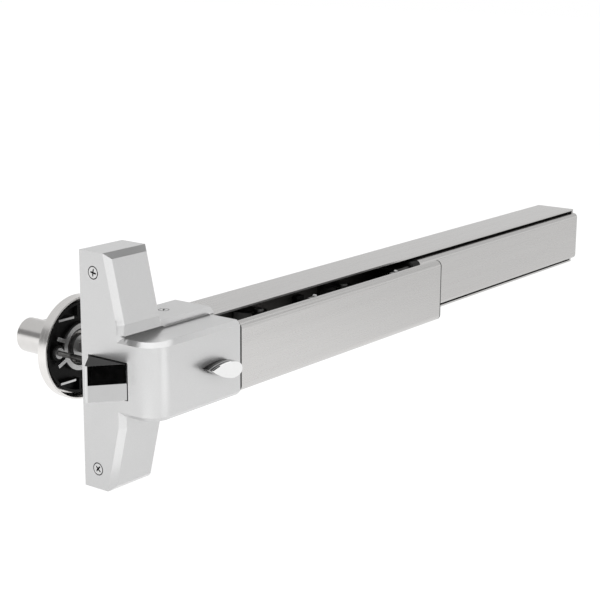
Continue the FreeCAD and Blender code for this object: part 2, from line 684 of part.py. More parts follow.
def head_cover():
    """The die-cast cover over latch and mechanism."""
    nose = nose_form("cover_nose", END_FACE, NOSE_END, "0", "nose_corner_radius")
    dress(nose, "Chamfer", nose.Tip, on_nose_rim, Size="nose_chamfer")
    throat = nose_form("cover_throat", f"{END_FACE} + cover_wall", f"{NOSE_END} + overrun", "cover_wall",
                       "nose_corner_radius - cover_wall")
    rail_way = slab(NOSE_END, "-(wing_root_depth + overrun)", "rail_half_height + loose_gap",
                    f"{STRIP_END} - {NOSE_END} + overrun", "wing_root_depth + 2*overrun")
    latch_way = box(f"{END_FACE} - overrun", "-(latch_far + overrun)",
                    "-(latch_drop + latch_half_height + latch_gap)", "cover_wall + 2*overrun",
                    "latch_far - latch_near + 2*overrun", "2*(latch_half_height + latch_gap)")
    turn_way = rod("Y", "turn_x", "-(nose_depth + overrun)", "-latch_drop", "turn_shaft_radius + loose_gap",
                   "cover_wall + 2*overrun")
    ways = [upright_hollow(), throat, rail_way, latch_way, turn_way]
    for sign in (1, -1):
        ways.append(screw("X", END_FACE, "-end_screw_depth", f"{sign}*end_screw_height", 1,
                          "end_screw_head_radius + running_gap", "screw_radius + running_gap",
                          "cover_wall + 2*overrun"))
        ways.append(screw("Z", "side_screw_x", "-side_screw_depth", f"{sign}*strip_half_height", -sign,
                          "side_screw_head_radius + running_gap", "screw_radius + running_gap",
                          "cover_wall + 2*overrun"))
    node(cut(fuse(upright_form(), nose), *ways), "head_cover")


def head_plate():
    """The steel fixing plate against the door, with its two flanges and two screw lugs."""
    owner = body("fixing_plate")
    right = f"-{PLATE_START}"
    top = "wing_half_height - cover_wall - loose_gap"
    outline = [(PLATE_START, f"-({top})"), (right, f"-({top})"), (right, "-flange_half_height"),
               ("plate_end_x", "-flange_half_height"), ("plate_end_x", "flange_half_height"),
               (right, "flange_half_height"), (right, top), (PLATE_START, top)]
    holes = [("spindle_x", "0", "spindle_side*sqrt(0.5) + spindle_clearance")]
    for across in (1, -1):
        holes.append((f"spindle_x + {across}*post_offset", "0", "bolt_radius + running_gap"))
        for upright in (1, -1):
            holes.append((f"{across}*fixing_spacing_x/2", f"{upright}*fixing_spacing_z/2",
                          "fixing_hole_radius"))
    pad(owner, sketch(owner, "XZ_Plane", [outline], holes), "plate_thickness")
    pieces = [owner]
    ways = []
    for sign in (1, -1):
        low = FLANGE_INNER if sign > 0 else "-flange_half_height"
        pieces.append(box(PLATE_START, "-flange_depth", low, f"plate_end_x - {PLATE_START}",
                          "flange_depth", "plate_thickness"))
        pieces.append(box("plate_end_x - overrun", "-flange_depth", low,
                          "flange_end_x - plate_end_x + overrun",
                          "flange_depth - rail_wall - loose_gap", "plate_thickness"))
        pieces.append(box(PLATE_START, "-(end_screw_depth + lug_width/2)",
                          f"{sign}*end_screw_height - lug_width/2", "plate_thickness",
                          "end_screw_depth + lug_width/2", "lug_width"))
        ways.append(rod("X", END_FACE, "-end_screw_depth", f"{sign}*end_screw_height",
                        "screw_radius + running_gap", "end_screw_length"))
        ways.append(rod("Z", "side_screw_x", "-side_screw_depth",
                        f"{sign}*(flange_half_height - plate_thickness/2) - plate_thickness",
                        "screw_radius + running_gap", "2*plate_thickness"))
    node(cut(fuse(*pieces), *ways), "head_fixing_plate")


def cover_screws():
    """The four countersunk screws that hold the cover."""
    ends = []
    sides = []
    for sign in (1, -1):
        ends.append(screw("X", END_FACE, "-end_screw_depth", f"{sign}*end_screw_height", 1,
                          "end_screw_head_radius", "screw_radius", "end_screw_length"))
        sides.append(screw("Z", "side_screw_x", "-side_screw_depth", f"{sign}*strip_half_height",
                           -sign, "side_screw_head_radius", "screw_radius", "side_screw_length"))
    node(group(*ends), "cover_end_screws")
    node(group(*sides), "cover_side_screws")


# Latch

def latch_bolt():
    """The latch bolt, bevelled on both faces, with two blind holes for its springs."""
    owner = body("latch")
    back = f"{END_FACE} + latch_body_length"
    tip = f"{END_FACE} - latch_throw"
    outline = [(END_FACE, "-latch_near"), (tip, LATCH_MIDDLE), (END_FACE, "-latch_far"),
               (back, "-latch_far"), (back, "-latch_near")]
    solid = pad(owner, sketch(owner, "XY_Plane", [outline]), "2*latch_half_height", middle=True)
    nose = number_of(tip)
    dress(owner, "Fillet", solid, lambda spot: near(spot.x, nose), Radius="latch_nose_radius")
    place(owner, z="-latch_drop")
    bores = [rod("X", f"{END_FACE} + latch_bore_start", LATCH_MIDDLE,
                 f"{sign}*latch_spring_offset - latch_drop", "latch_bore_radius", "latch_body_length")
             for sign in (1, -1)]
    node(cut(owner, *bores), "latch_bolt")


def latch_slide():
    """The plate behind the latch bolt, with the slot for the rod's pin and the lever's two legs."""
    back = f"{END_FACE} + latch_body_length"
    play = "(pin_radius + loose_gap)"
    front = f"{ROD_DEPTH} + {play} + slide_thickness"
    plate = slab(back, f"-({front})", "slide_thickness/2", f"slide_end_x - ({back})",
                 f"{front} - slide_top_depth")
    bridge = slab("leg_x", "-slide_top_depth", "leg_outer", "leg_thickness", "slide_thickness")
    legs = [box("leg_x", "-(slide_top_depth - leg_thickness)",
                "leg_inner" if sign > 0 else "-leg_outer", "leg_thickness",
                "slide_top_depth - leg_thickness - plate_thickness - 2*loose_gap", "leg_outer - leg_inner")
            for sign in (1, -1)]
    way = slot("rod_pin_x - latch_travel", f"-{ROD_DEPTH}", "-slide_thickness", play, "latch_travel",
               "2*slide_thickness")
    node(cut(fuse(plate, bridge, *legs), way), "latch_slide")


def latch_fittings():
    """The guides above and below the latch bolt, its two springs and their stops."""
    guides = []
    stops = []
    springs = []
    start = f"{END_FACE} + latch_bore_start"
    for sign in (1, -1):
        inner = f"(latch_half_height + loose_gap - {sign}*latch_drop)"
        low = inner if sign > 0 else f"-{FLANGE_INNER}"
        guides.append(box(PLATE_START, "-(latch_far - overrun)", low, "guide_length",
                          "latch_far - latch_near - overrun", f"{FLANGE_INNER} - {inner}"))
        inner = "(slide_thickness/2 + overrun)"
        low = inner if sign > 0 else f"-{FLANGE_INNER}"
        stops.append(box("spring_stop_x", f"{LATCH_MIDDLE} - 2*latch_bore_radius", low,
                         "plate_thickness", "4*latch_bore_radius",
                         f"{FLANGE_INNER} - {inner}"))
        springs.append(coil("X", start, LATCH_MIDDLE, f"{sign}*latch_spring_offset - latch_drop",
                            "latch_spring_radius", "wire_radius", f"spring_stop_x - ({start})",
                            LATCH_SPRING_TURNS))
    node(group(*guides), "latch_guides")
    node(group(*stops), "latch_spring_stops")
    node(group(*springs), "latch_springs")


# Rail, filler and the far end

def base_rail():
    """The folded rail against the door, open to the front, with two tongues under the cover."""
    owner = body("rail")
    outline = [("0", "rail_half_height"), ("0", "-rail_half_height"),
               ("-rail_depth", "-rail_half_height"), ("-rail_depth", f"-{RAIL_INNER}"),
               ("-rail_wall", f"-{RAIL_INNER}"), ("-rail_wall", RAIL_INNER),
               ("-rail_depth", RAIL_INNER), ("-rail_depth", "rail_half_height")]
    solid = pad(owner, sketch(owner, "YZ_Plane", [outline], lift="rail_start_x"),
                f"{FAR_END} - rail_start_x")
    half = number_of("rail_half_height")
    dress(owner, "Fillet", solid, lambda spot: near(spot.y, 0) and near(abs(spot.z), half),
          Radius="rail_bend_radius")
    heel = slab("rail_start_x - overrun", "-(rail_wall + overrun)", RAIL_INNER,
                "plate_end_x + loose_gap - rail_start_x + overrun", "rail_wall + 2*overrun")
    notch = slab("rail_start_x - overrun", "-(rail_depth + overrun)", "(rail_half_height + overrun)",
                 f"{NOSE_END} + loose_gap - rail_start_x + overrun",
                 "rail_depth + overrun - (wing_root_depth - cover_wall - loose_gap)")
    ways = [rod("Z", "side_screw_x", "-side_screw_depth", "-(rail_half_height + overrun)",
                "screw_radius + loose_gap", "2*(rail_half_height + overrun)")]
    for sign in (1, -1):
        ways.append(rod("Y", f"{FAR_END} - end_fixing_inset", "-(rail_wall + overrun)",
                        f"{sign}*end_fixing_spacing/2", "fixing_hole_radius", "rail_wall + 2*overrun"))
    node(cut(owner, heel, notch, *ways), "base_rail")


def filler():
    """The fixed stainless cover beyond the pad and its clips in the rail."""
    node(channel("filler", "filler_half_height", "filler_back", "filler_depth", "skin_wall",
                 FILLER_START, f"{END_STOP} - {FILLER_START}", "filler_corner_radius"),
         "filler_cover")
    clips = []
    for count in (1, 2, 3):
        clip = body("clip")
        outline = [("-rail_wall", FILLER_INNER), ("-filler_clip_depth", FILLER_INNER),
                   ("-filler_clip_depth", f"{FILLER_INNER} - rail_wall"),
                   ("-2*rail_wall", f"{FILLER_INNER} - rail_wall"),
                   ("-2*rail_wall", f"-({FILLER_INNER} - rail_wall)"),
                   ("-filler_clip_depth", f"-({FILLER_INNER} - rail_wall)"),
                   ("-filler_clip_depth", f"-{FILLER_INNER}"), ("-rail_wall", f"-{FILLER_INNER}")]
        middle = f"{FILLER_START} + {count}/4*({END_STOP} - {FILLER_START})"
        pad(clip, sketch(clip, "YZ_Plane", [outline], lift=f"{middle} - filler_clip_length/2"),
            "filler_clip_length")
        clips.append(clip)
    node(group(*clips), "filler_clips")


def filler_plug():
    """The black moulded plug in the filler cover's near end."""
    owner = body("plug")
    outline = [("-filler_back", "filler_half_height"), ("-filler_depth", "filler_half_height"),
               ("-filler_depth", "-filler_half_height"), ("-filler_back", "-filler_half_height")]
    start = f"({FILLER_START} - plug_length)"
    solid = pad(owner, sketch(owner, "YZ_Plane", [outline], lift=start), "plug_length")
    face = number_of("-filler_depth")
    back = number_of("-filler_back")
    left = number_of(start)
    half = number_of("filler_half_height")
    long_edges = dress(owner, "Fillet", solid,
                       lambda spot: near(spot.y, face) and near(abs(spot.z), half),
                       Radius="filler_corner_radius")
    dress(owner, "Fillet", long_edges, lambda spot: near(spot.x, left)
          and not (near(spot.y, back) and abs(spot.z) < half - TOUCH), Radius="plug_wall")
    depth = "(filler_depth - skin_wall - filler_corner_radius)"
    spigot_half = f"({FILLER_INNER} - running_gap)"
    spigot = slab(f"{FILLER_START} - overrun", f"-{depth}", spigot_half, "plug_spigot + overrun",
                  f"{depth} - filler_back")
    hollow = slab(f"{start} + plug_wall", f"-({depth} - plug_wall)", f"({spigot_half} - plug_wall)",
                  "plug_length + plug_spigot", "filler_depth")
    node(cut(fuse(owner, spigot), hollow), "filler_plug")


def rail_end():
    """The end plate of the rail and the bracket that fixes rail and plate to the door."""
    owner = body("end_cap")
    wide = f"{RAIL_INNER} - loose_gap"
    outline = [("-rail_wall", wide), ("-rail_depth", wide), ("-rail_depth", "filler_half_height"),
               ("-filler_depth", "filler_half_height"), ("-filler_depth", "-filler_half_height"),
               ("-rail_depth", "-filler_half_height"), ("-rail_depth", f"-({wide})"),
               ("-rail_wall", f"-({wide})")]
    solid = pad(owner, sketch(owner, "YZ_Plane", [outline], lift=END_STOP), "end_plate")
    face = number_of("-filler_depth")
    half = number_of("filler_half_height")
    dress(owner, "Fillet", solid, lambda spot: near(spot.y, face) and near(abs(spot.z), half),
          Radius="filler_corner_radius")
    node(owner, "rail_end_plate")

    bracket = body("bracket")
    start = f"{END_STOP} - end_foot_length"
    inner = "(rail_wall + end_bracket_sheet)"
    outline = [(start, "-rail_wall"), (END_STOP, "-rail_wall"), (END_STOP, "-end_bracket_depth"),
               (f"{END_STOP} - end_bracket_sheet", "-end_bracket_depth"),
               (f"{END_STOP} - end_bracket_sheet", f"-{inner}"), (start, f"-{inner}")]
    pad(bracket, sketch(bracket, "XY_Plane", [outline]), "2*end_foot_half_height", middle=True)
    gusset = body("gusset")
    outline = [(f"{start} + end_bracket_sheet", f"-{inner} + overrun"),
               (f"{END_STOP} - overrun", f"-{inner} + overrun"),
               (f"{END_STOP} - overrun", "-end_bracket_depth + end_bracket_sheet"),
               (f"{END_STOP} - end_bracket_sheet", "-end_bracket_depth + end_bracket_sheet"),
               (f"{start} + end_bracket_sheet", f"-{inner}")]
    pad(gusset, sketch(gusset, "XY_Plane", [outline]), "end_bracket_sheet", middle=True)
    ways = [rod("Y", f"{FAR_END} - end_fixing_inset", f"-({inner} + overrun)",
                f"{sign}*end_fixing_spacing/2", "fixing_hole_radius", f"{inner} + overrun")
            for sign in (1, -1)]
    node(cut(fuse(bracket, gusset), *ways), "end_bracket")


# Push pad and what moves with it

def push_pad():
    """The stainless pad with its dark end cap."""
    back = "nose_depth - pad_flange"
    node(channel("pad_skin", "pad_half_height", back, "nose_depth", "skin_wall", PAD_START,
                 "pad_length - cap_rim", "pad_corner_radius"), "push_pad")
    pieces = []
    for half, front, start, length, corner in (
            ("pad_half_height", "nose_depth", f"{PAD_END} - cap_rim", "cap_rim", "pad_corner_radius"),
            (f"({PAD_INNER_HALF} - running_gap)", f"({PAD_INNER} - running_gap)",
             f"{PAD_END} - cap_rim - cap_plug", "cap_plug", "(pad_corner_radius - skin_wall)")):
        cap = body("cap")
        outline = [(f"-({back})", half), (f"-{front}", half), (f"-{front}", f"-{half}"),
                   (f"-({back})", f"-{half}")]
        solid = pad(cap, sketch(cap, "YZ_Plane", [outline], lift=start), length)
        face = -number_of(front)
        top = number_of(half)
        dress(cap, "Fillet", solid,
              lambda spot, face=face, top=top: near(spot.y, face) and near(abs(spot.z), top),
              Radius=corner)
        pieces.append(cap)
    node(fuse(*pieces), "pad_end_cap")


def carrier_half(stud, sign):
    """One half of a carrier: the step and ear that hold the rivet, and the lug for the pad's pin."""
    web_half = "(pad_half_height - pad_corner_radius - skin_wall)"
    ear_start = f"-({PAD_INNER} - pad_corner_radius)"
    left = f"{stud} - carrier_ear_width/2"
    low = f"{PAD_INNER_HALF} - carrier_sheet" if sign > 0 else f"-{PAD_INNER_HALF}"
    ear = box(left, ear_start, low, "carrier_ear_width",
              f"{PAD_INNER} - pad_corner_radius - carrier_ear_back", "carrier_sheet")
    low = f"{web_half} - carrier_sheet" if sign > 0 else f"-{PAD_INNER_HALF}"
    step = box(left, ear_start, low, "carrier_ear_width", "carrier_sheet",
               f"{PAD_INNER_HALF} - {web_half} + carrier_sheet")
    low = f"{web_half} - carrier_sheet" if sign > 0 else f"-{web_half}"
    riser = box(left, f"-{PAD_INNER}", low, "carrier_ear_width", "pad_corner_radius + overrun",
                "carrier_sheet")
    lug = body("lug")
    outline = [(f"{stud} - lug_root", f"-{PAD_INNER}"), (f"{stud} + lug_root", f"-{PAD_INNER}"),
               (f"{stud} + lug_radius", f"-{PIN_DEPTH}"), (f"{stud} - lug_radius", f"-{PIN_DEPTH}")]
    low = "lug_inner" if sign > 0 else "-(lug_inner + lug_sheet)"
    pad(lug, sketch(lug, "XY_Plane", [outline], lift=low), "lug_sheet")
    return [ear, step, riser, lug, rod("Z", stud, f"-{PIN_DEPTH}", low, "lug_radius", "lug_sheet")]


def rivet(stud, sign):
    """A rivet through a carrier's ear, with a chamfered head."""
    shank = f"({PAD_INNER_HALF} - carrier_sheet)"
    stem_length = f"rivet_top - rivet_edge - {shank}"
    if sign > 0:
        return fuse(rod("Z", stud, "-rivet_depth", shank, "rivet_radius", stem_length),
                    cone("Z", stud, "-rivet_depth", "rivet_top - rivet_edge", "rivet_radius",
                         "rivet_radius - rivet_edge", "rivet_edge"))
    return fuse(rod("Z", stud, "-rivet_depth", "-(rivet_top - rivet_edge)", "rivet_radius", stem_length),
                cone("Z", stud, "-rivet_depth", "-rivet_top", "rivet_radius - rivet_edge",
                     "rivet_radius", "rivet_edge"))


def pad_carriers():
    """The two folded carriers behind the pad's skin, their rivets and the pins in their lugs."""
    rivets = []
    pins = []
    for label, stud in STUDS.items():
        pieces = [slab(f"{stud} - carrier_length/2", f"-{PAD_INNER}",
                       "(pad_half_height - pad_corner_radius - skin_wall)", "carrier_length",
                       "carrier_sheet")]
        ways = [rod("Z", stud, f"-{PIN_DEPTH}", "-(lug_inner + lug_sheet + overrun)", "pin_radius",
                    "2*(lug_inner + lug_sheet + overrun)")]
        for sign in (1, -1):
            pieces += carrier_half(stud, sign)
            rivets.append(rivet(stud, sign))
            low = f"{PAD_INNER_HALF} - 1.5*carrier_sheet" if sign > 0 else "-rivet_top"
            ways.append(rod("Z", stud, "-rivet_depth", low, "rivet_radius",
                            f"rivet_top - {PAD_INNER_HALF} + 1.5*carrier_sheet"))
        node(cut(fuse(*pieces), *ways), f"pad_carrier_{label}")
        pins.append(rod("Z", stud, f"-{PIN_DEPTH}", "-(lug_inner + lug_sheet)", "pin_radius",
                        "2*(lug_inner + lug_sheet)"))
    node(group(*rivets), "pad_rivets")
    node(group(*pins), "lug_pins")


# Rockers, rod and what holds them

def rocker(label, stud):
    """A bell crank with a slotted arm for the pad's pin and another for the rod's pin."""
    play = "(pin_radius + rocker_play)"
    rim = f"({play} + rocker_rim)"
    low = "-rocker_thickness/2"
    pad_far = "sqrt(rocker_reach^2 + (pad_travel/2)^2)"
    rod_far = f"sqrt({ROD_OFFSET}^2 + (latch_travel/2)^2)"
    pad_arm = slot("0", "0", low, rim, pad_far, "rocker_thickness")
    rod_arm = slot("0", f"-{rod_far}", low, rim, rod_far, "rocker_thickness", axis="Y")
    web = body("web")
    pad(web, sketch(web, "XY_Plane", [[("0", "0"), ("0", "-rocker_web"), ("rocker_web", "0")]]),
        "rocker_thickness", middle=True)
    hub = rod("Z", "0", "0", "-hub_half_height", "hub_radius", "2*hub_half_height")
    ways = [rod("Z", "0", "0", "-(hub_half_height + overrun)", "pivot_radius + running_gap",
                "2*(hub_half_height + overrun)"),
            slot("rocker_reach", "0", f"2*{low}", play, f"({pad_far} - rocker_reach)",
                 "2*rocker_thickness"),
            slot("0", f"-{rod_far}", f"2*{low}", play, f"({rod_far} - {ROD_OFFSET})",
                 "2*rocker_thickness", axis="Y")]
    crank = cut(fuse(pad_arm, rod_arm, web, hub), *ways)
    turn(crank, (0, 0, 1), REST_ANGLE)
    place(crank, f"{stud} - rocker_reach", "-pivot_depth")
    node(crank, f"rocker_{label}")


def rocker_bracket(label, stud):
    """The folded bracket and the headed pivot of a rocker."""
    pivot = f"({stud} - rocker_reach)"
    inner = "(hub_half_height + loose_gap)"
    pieces = [slab(f"{pivot} - foot_reach", "-(rail_wall + cheek_sheet)", "foot_half_height",
                   "foot_reach + cheek_radius", "cheek_sheet")]
    stem = [rod("Z", pivot, "-pivot_depth", f"-({inner} + cheek_sheet)", "pivot_radius",
                f"2*({inner} + cheek_sheet)")]
    for sign in (1, -1):
        low = inner if sign > 0 else f"-({inner} + cheek_sheet)"
        cheek = body("cheek")
        outline = [(f"{pivot} - foot_reach", "-rail_wall"), (f"{pivot} + cheek_radius", "-rail_wall"),
                   (f"{pivot} + cheek_radius", "-pivot_depth"),
                   (f"{pivot} - cheek_radius", "-pivot_depth")]
        pad(cheek, sketch(cheek, "XY_Plane", [outline], lift=low), "cheek_sheet")
        pieces += [cheek, rod("Z", pivot, "-pivot_depth", low, "cheek_radius", "cheek_sheet")]
        low = f"{inner} + cheek_sheet" if sign > 0 else f"-({inner} + cheek_sheet + pivot_head_height)"
        stem.append(rod("Z", pivot, "-pivot_depth", low, "pivot_radius + pivot_head_height",
                        "pivot_head_height"))
    way = rod("Z", pivot, "-pivot_depth", "-foot_half_height", "pivot_radius", "2*foot_half_height")
    node(cut(fuse(*pieces), way), f"rocker_bracket_{label}")
    node(fuse(*stem), f"rocker_pivot_{label}")


def actuating_rod():
    """The flat rod with its three pins and its collar."""
    middle = f"({ROD_LOW} + rod_thickness/2)"
    drops = {f"{stud} - rocker_reach - latch_travel/2": "(rocker_thickness/2 + rod_gap)"
             for stud in STUDS.values()}
    drops["rod_pin_x"] = "(slide_thickness/2 + rod_gap)"
    end = f"{SECOND_STUD} - rocker_reach - latch_travel/2 + rod_tail"
    bar = box("rod_start_x", f"-({ROD_DEPTH} + rod_width/2)", ROD_LOW, f"{end} - rod_start_x",
              "rod_width", "rod_thickness")
    ways = [rod("Z", x, f"-{ROD_DEPTH}", "0", "pin_radius", f"2*{ROD_TOP}") for x in drops]
    node(cut(bar, *ways), "actuating_rod")
    node(group(*[rod("Z", x, f"-{ROD_DEPTH}", f"-{drop}", "pin_radius", f"{drop} + {ROD_TOP}")
                 for x, drop in drops.items()]), "rod_pins")
    collar = rod("X", "collar_x", f"-{ROD_DEPTH}", middle, "collar_radius", "collar_width")
    way = box("collar_x - overrun", f"-({ROD_DEPTH} + rod_width/2)", ROD_LOW,
              "collar_width + 2*overrun", "rod_width", "rod_thickness")
    node(cut(collar, way), "rod_collar")


def rod_guides():
    """The two guides of the rod and the return spring between the first guide and the collar."""
    middle = f"({ROD_LOW} + rod_thickness/2)"
    start = "collar_x + collar_width"
    node(coil("X", start, f"-{ROD_DEPTH}", middle, "return_spring_radius", "wire_radius",
              f"guide_x - ({start})", RETURN_SPRING_TURNS), "return_spring")
    guides = []
    front = f"({ROD_DEPTH} + rod_width/2 + loose_gap + guide_rim)"
    half = f"({ROD_TOP} + loose_gap + guide_rim)"
    for x in ("guide_x", SECOND_GUIDE):
        post = slab(x, f"-{front}", half, "guide_width", f"{front} - rail_wall")
        way = box(f"{x} - overrun", f"-({ROD_DEPTH} + rod_width/2 + loose_gap)", f"{ROD_LOW} - loose_gap",
                  "guide_width + 2*overrun", "rod_width + 2*loose_gap", "rod_thickness + 2*loose_gap")
        waists = [box(f"{x} - overrun", f"-({ROD_DEPTH} - rod_width)",
                      "guide_web/2" if sign > 0 else f"-({half} + overrun)", "guide_width + 2*overrun",
                      f"{ROD_DEPTH} - rod_width - guide_flange", f"{half} + overrun - guide_web/2")
                  for sign in (1, -1)]
        guides.append(cut(post, way, *waists))
    node(group(*guides), "rod_guides")


def pad_stop():
    """The hat-shaped bracket in the rail and the two rubber buffers on it."""
    hat = body("hat")
    inner = "(stop_half_height - stop_sheet)"
    foot = f"({RAIL_INNER} - loose_gap)"
    base = "-(rail_wall + stop_sheet)"
    face = "-(stop_depth - stop_sheet)"
    outline = [("-rail_wall", inner), ("-rail_wall", foot), (base, foot), (base, "stop_half_height"),
               ("-stop_depth", "stop_half_height"), ("-stop_depth", "-stop_half_height"),
               (base, "-stop_half_height"), (base, f"-{foot}"), ("-rail_wall", f"-{foot}"),
               ("-rail_wall", f"-{inner}"), (face, f"-{inner}"), (face, inner)]
    pad(hat, sketch(hat, "YZ_Plane", [outline], lift=STOP_START), "stop_width")
    node(hat, "stop_bracket")
    reach = f"({PAD_INNER} - pad_travel - loose_gap)"
    node(group(*[rod("Y", f"{STOP_START} + stop_width/2", f"-{reach}", f"{sign}*buffer_offset",
                     "buffer_radius", f"{reach} - stop_depth") for sign in (1, -1)]), "stop_buffers")


# Thumbturn

def leaf_form(name, inset, depth):
    """A leaf-shaped block: the grip's outline less the inset, round at its right end."""
    owner = body(name)
    rise = f"(turn_height/2 - {inset})"
    half = f"(turn_length/2 - {inset})"
    long_arc = f"(({half} + turn_widest)^2 + {rise}^2)/(2*{rise})"
    short_arc = f"(({half} - turn_widest)^2 + {rise}^2)/(2*{rise})"
    leaf = [(f"-{half}", "0", long_arc), ("turn_widest", rise, short_arc), (half, "0", short_arc),
            ("turn_widest", f"-{rise}", long_arc)]
    solid = pad(owner, sketch(owner, "XZ_Plane", [leaf]), depth)
    right = number_of(half)
    rounded = dress(owner, "Fillet", solid, lambda spot: near(spot.x, right),
                    Radius=f"turn_end_radius - {inset}")
    return owner, rounded


def thumbturn():
    """The leaf-shaped grip on its dark seat, its shaft, and the holding cam behind the cover."""
    seat = leaf_form("seat_leaf", "seat_inset", "seat_depth")[0]
    turn(seat, (0, 1, 0), "turn_tilt")
    place(seat, "turn_x", "-(nose_depth + turn_gap)", "-latch_drop")
    way = rod("Y", "turn_x", "-(nose_depth + turn_gap + seat_depth + overrun)", "-latch_drop",
              "turn_shaft_radius + running_gap", "seat_depth + 2*overrun")
    node(cut(seat, way), "thumbturn_seat")
    depth = "(turn_reach - turn_gap - seat_depth)"
    grip, rounded = leaf_form("leaf", "0", depth)
    front = -number_of(depth)
    dress(grip, "Chamfer", rounded, lambda spot: near(spot.y, front), Size="turn_edge")
    turn(grip, (0, 1, 0), "turn_tilt")
    place(grip, "turn_x", "-(nose_depth + turn_gap + seat_depth)", "-latch_drop")
    shaft_end = "nose_depth + turn_gap + seat_depth + overrun"
    shaft = rod("Y", "turn_x", f"-({shaft_end})", "-latch_drop", "turn_shaft_radius",
                f"{shaft_end} - cam_depth")
    node(fuse(grip, shaft), "thumbturn")
    back = "-(cam_depth + cam_thickness)"
    arm = box("turn_x", back, "-(latch_drop + cam_half_width)", "cam_reach", "cam_thickness",
              "2*cam_half_width")
    tip = rod("Y", "turn_x + cam_reach", back, "-latch_drop", "cam_half_width", "cam_thickness")
    washer = rod("Y", "turn_x", back, "-latch_drop", "turn_shaft_radius + cam_rim", "cam_thickness")
    way = rod("Y", "turn_x", f"{back} - overrun", "-latch_drop", "turn_shaft_radius",
              "cam_thickness + 2*overrun")
    node(cut(fuse(arm, tip, washer), way), "holding_cam")


# Outside trim

def rose():
    """The outside rose, its black insert and the strips on the insert's long ribs."""
    slope = "rose_wall*tan(22.5)"
    node(turned("shell", [("rose_radius - rose_wall", "door_thickness"),
                          ("rose_radius", "door_thickness"),
                          ("rose_radius", f"{ROSE_FACE} - rose_edge"),
                          ("rose_radius - rose_edge", ROSE_FACE),
                          ("lever_hub_radius + loose_gap", ROSE_FACE),
                          ("lever_hub_radius + loose_gap", ROSE_FLOOR),
                          (f"rose_radius - rose_edge - {slope}", ROSE_FLOOR),
                          ("rose_radius - rose_wall", f"{ROSE_FACE} - rose_edge - {slope}")]),
         "rose_shell")
    ring_top = f"{ROSE_FLOOR} - cage_ring_depth"
    rim_top = f"{ROSE_FLOOR} - cage_rim_depth"
    floor = f"{ROSE_FLOOR} - cage_floor"
    rib_depth = "cage_rim_depth - cage_floor + overrun"
    pieces = [turned("cage", [("cage_inner", ring_top), ("cage_step", ring_top), ("cage_step", floor),
                              ("cage_radius - cage_rim", floor), ("cage_radius - cage_rim", rim_top),
                              ("cage_radius", rim_top), ("cage_radius", ROSE_FLOOR),
                              ("cage_inner", ROSE_FLOOR)])]
    holes = []
    strips = []
    for sign in (1, -1):
        for across in (1, -1):
            low = "spindle_x + rib_start" if across > 0 else "spindle_x - rib_start - rib_length"
            edge = f"{sign}*rib_height - rib_thickness/2"
            pieces.append(box(low, rim_top, edge, "rib_length", rib_depth, "rib_thickness"))
            strips.append(box(low, f"{rim_top} - rib_strip", edge, "rib_length", "rib_strip",
                              "rib_thickness"))
        low = "rib_height" if sign > 0 else "-(cage_radius - overrun)"
        pieces.append(box("spindle_x - short_rib_offset - rib_thickness/2", rim_top, low,
                          "rib_thickness", rib_depth, "cage_radius - overrun - rib_height"))
        x = f"spindle_x + {sign}*post_offset"
        pieces.append(rod("Y", x, rim_top, "0", "post_radius + post_rim", "cage_rim_depth"))
        holes.append(rod("Y", x, f"{rim_top} - overrun", "0", "post_radius + running_gap",
                         "cage_rim_depth + 2*overrun"))
    node(cut(fuse(*pieces), *holes), "rose_insert")
    node(group(*strips), "rib_strips")


def rose_fixings():
    """The rose's two posts and the two bolts that run through the door into them."""
    posts = []
    bolts = []
    for sign in (1, -1):
        x = f"spindle_x + {sign}*post_offset"
        post = rod("Y", x, "door_thickness + post_recess", "0", "post_radius",
                   f"{ROSE_FLOOR} - door_thickness - post_recess")
        way = rod("Y", x, "door_thickness", "0", "bolt_radius + running_gap",
                  "bolt_grip + overrun")
        posts.append(cut(post, way))
        head = rod("Y", x, "-(plate_thickness + bolt_head_height)", "0", "bolt_head_radius",
                   "bolt_head_height")
        stem = rod("Y", x, "-(plate_thickness + overrun)", "0", "bolt_radius",
                   "plate_thickness + overrun + door_thickness + bolt_grip")
        socket = rod("Y", x, "-(plate_thickness + bolt_head_height + overrun)", "0", "bolt_socket_radius",
                     "bolt_head_height")
        bolts.append(cut(fuse(head, stem), socket))
    node(group(*posts), "rose_posts")
    node(group(*bolts), "through_bolts")


def ring_plate():
    """The ring plate with its four arms, and the lever's spring inside it."""
    ring_top = f"{ROSE_FLOOR} - cage_ring_depth"
    plate_low = f"{ring_top} - ring_thickness"
    plate = turned("ring", [("ring_inner", plate_low), ("ring_outer", plate_low),
                            ("ring_outer", ring_top), ("ring_inner", ring_top)])
    arms = []
    for base_angle, lean in ((0, 1), (0, -1), (180, 1), (180, -1)):
        angle = f"({base_angle} + {lean}*arm_angle)"
        inset = "(ring_inner + overrun)"
        arm = box("0", "0", "0", f"arm_reach - {inset}", "ring_thickness", "arm_width")
        turn(arm, (0, 1, 0), angle)
        place(arm, f"spindle_x + {inset}*cos({angle}) - arm_width/2*sin({angle})", plate_low,
              f"-{inset}*sin({angle}) - arm_width/2*cos({angle})")
        arms.append(arm)
    node(fuse(plate, *arms), "rose_ring_plate")
    node(coil("Y", "spindle_x", f"{plate_low} + running_gap", "0", "(cage_inner - 2*wire_radius)",
              "wire_radius", f"{HUB_START} - loose_gap - ({plate_low} + running_gap)",
              LEVER_SPRING_TURNS),
         "lever_spring")


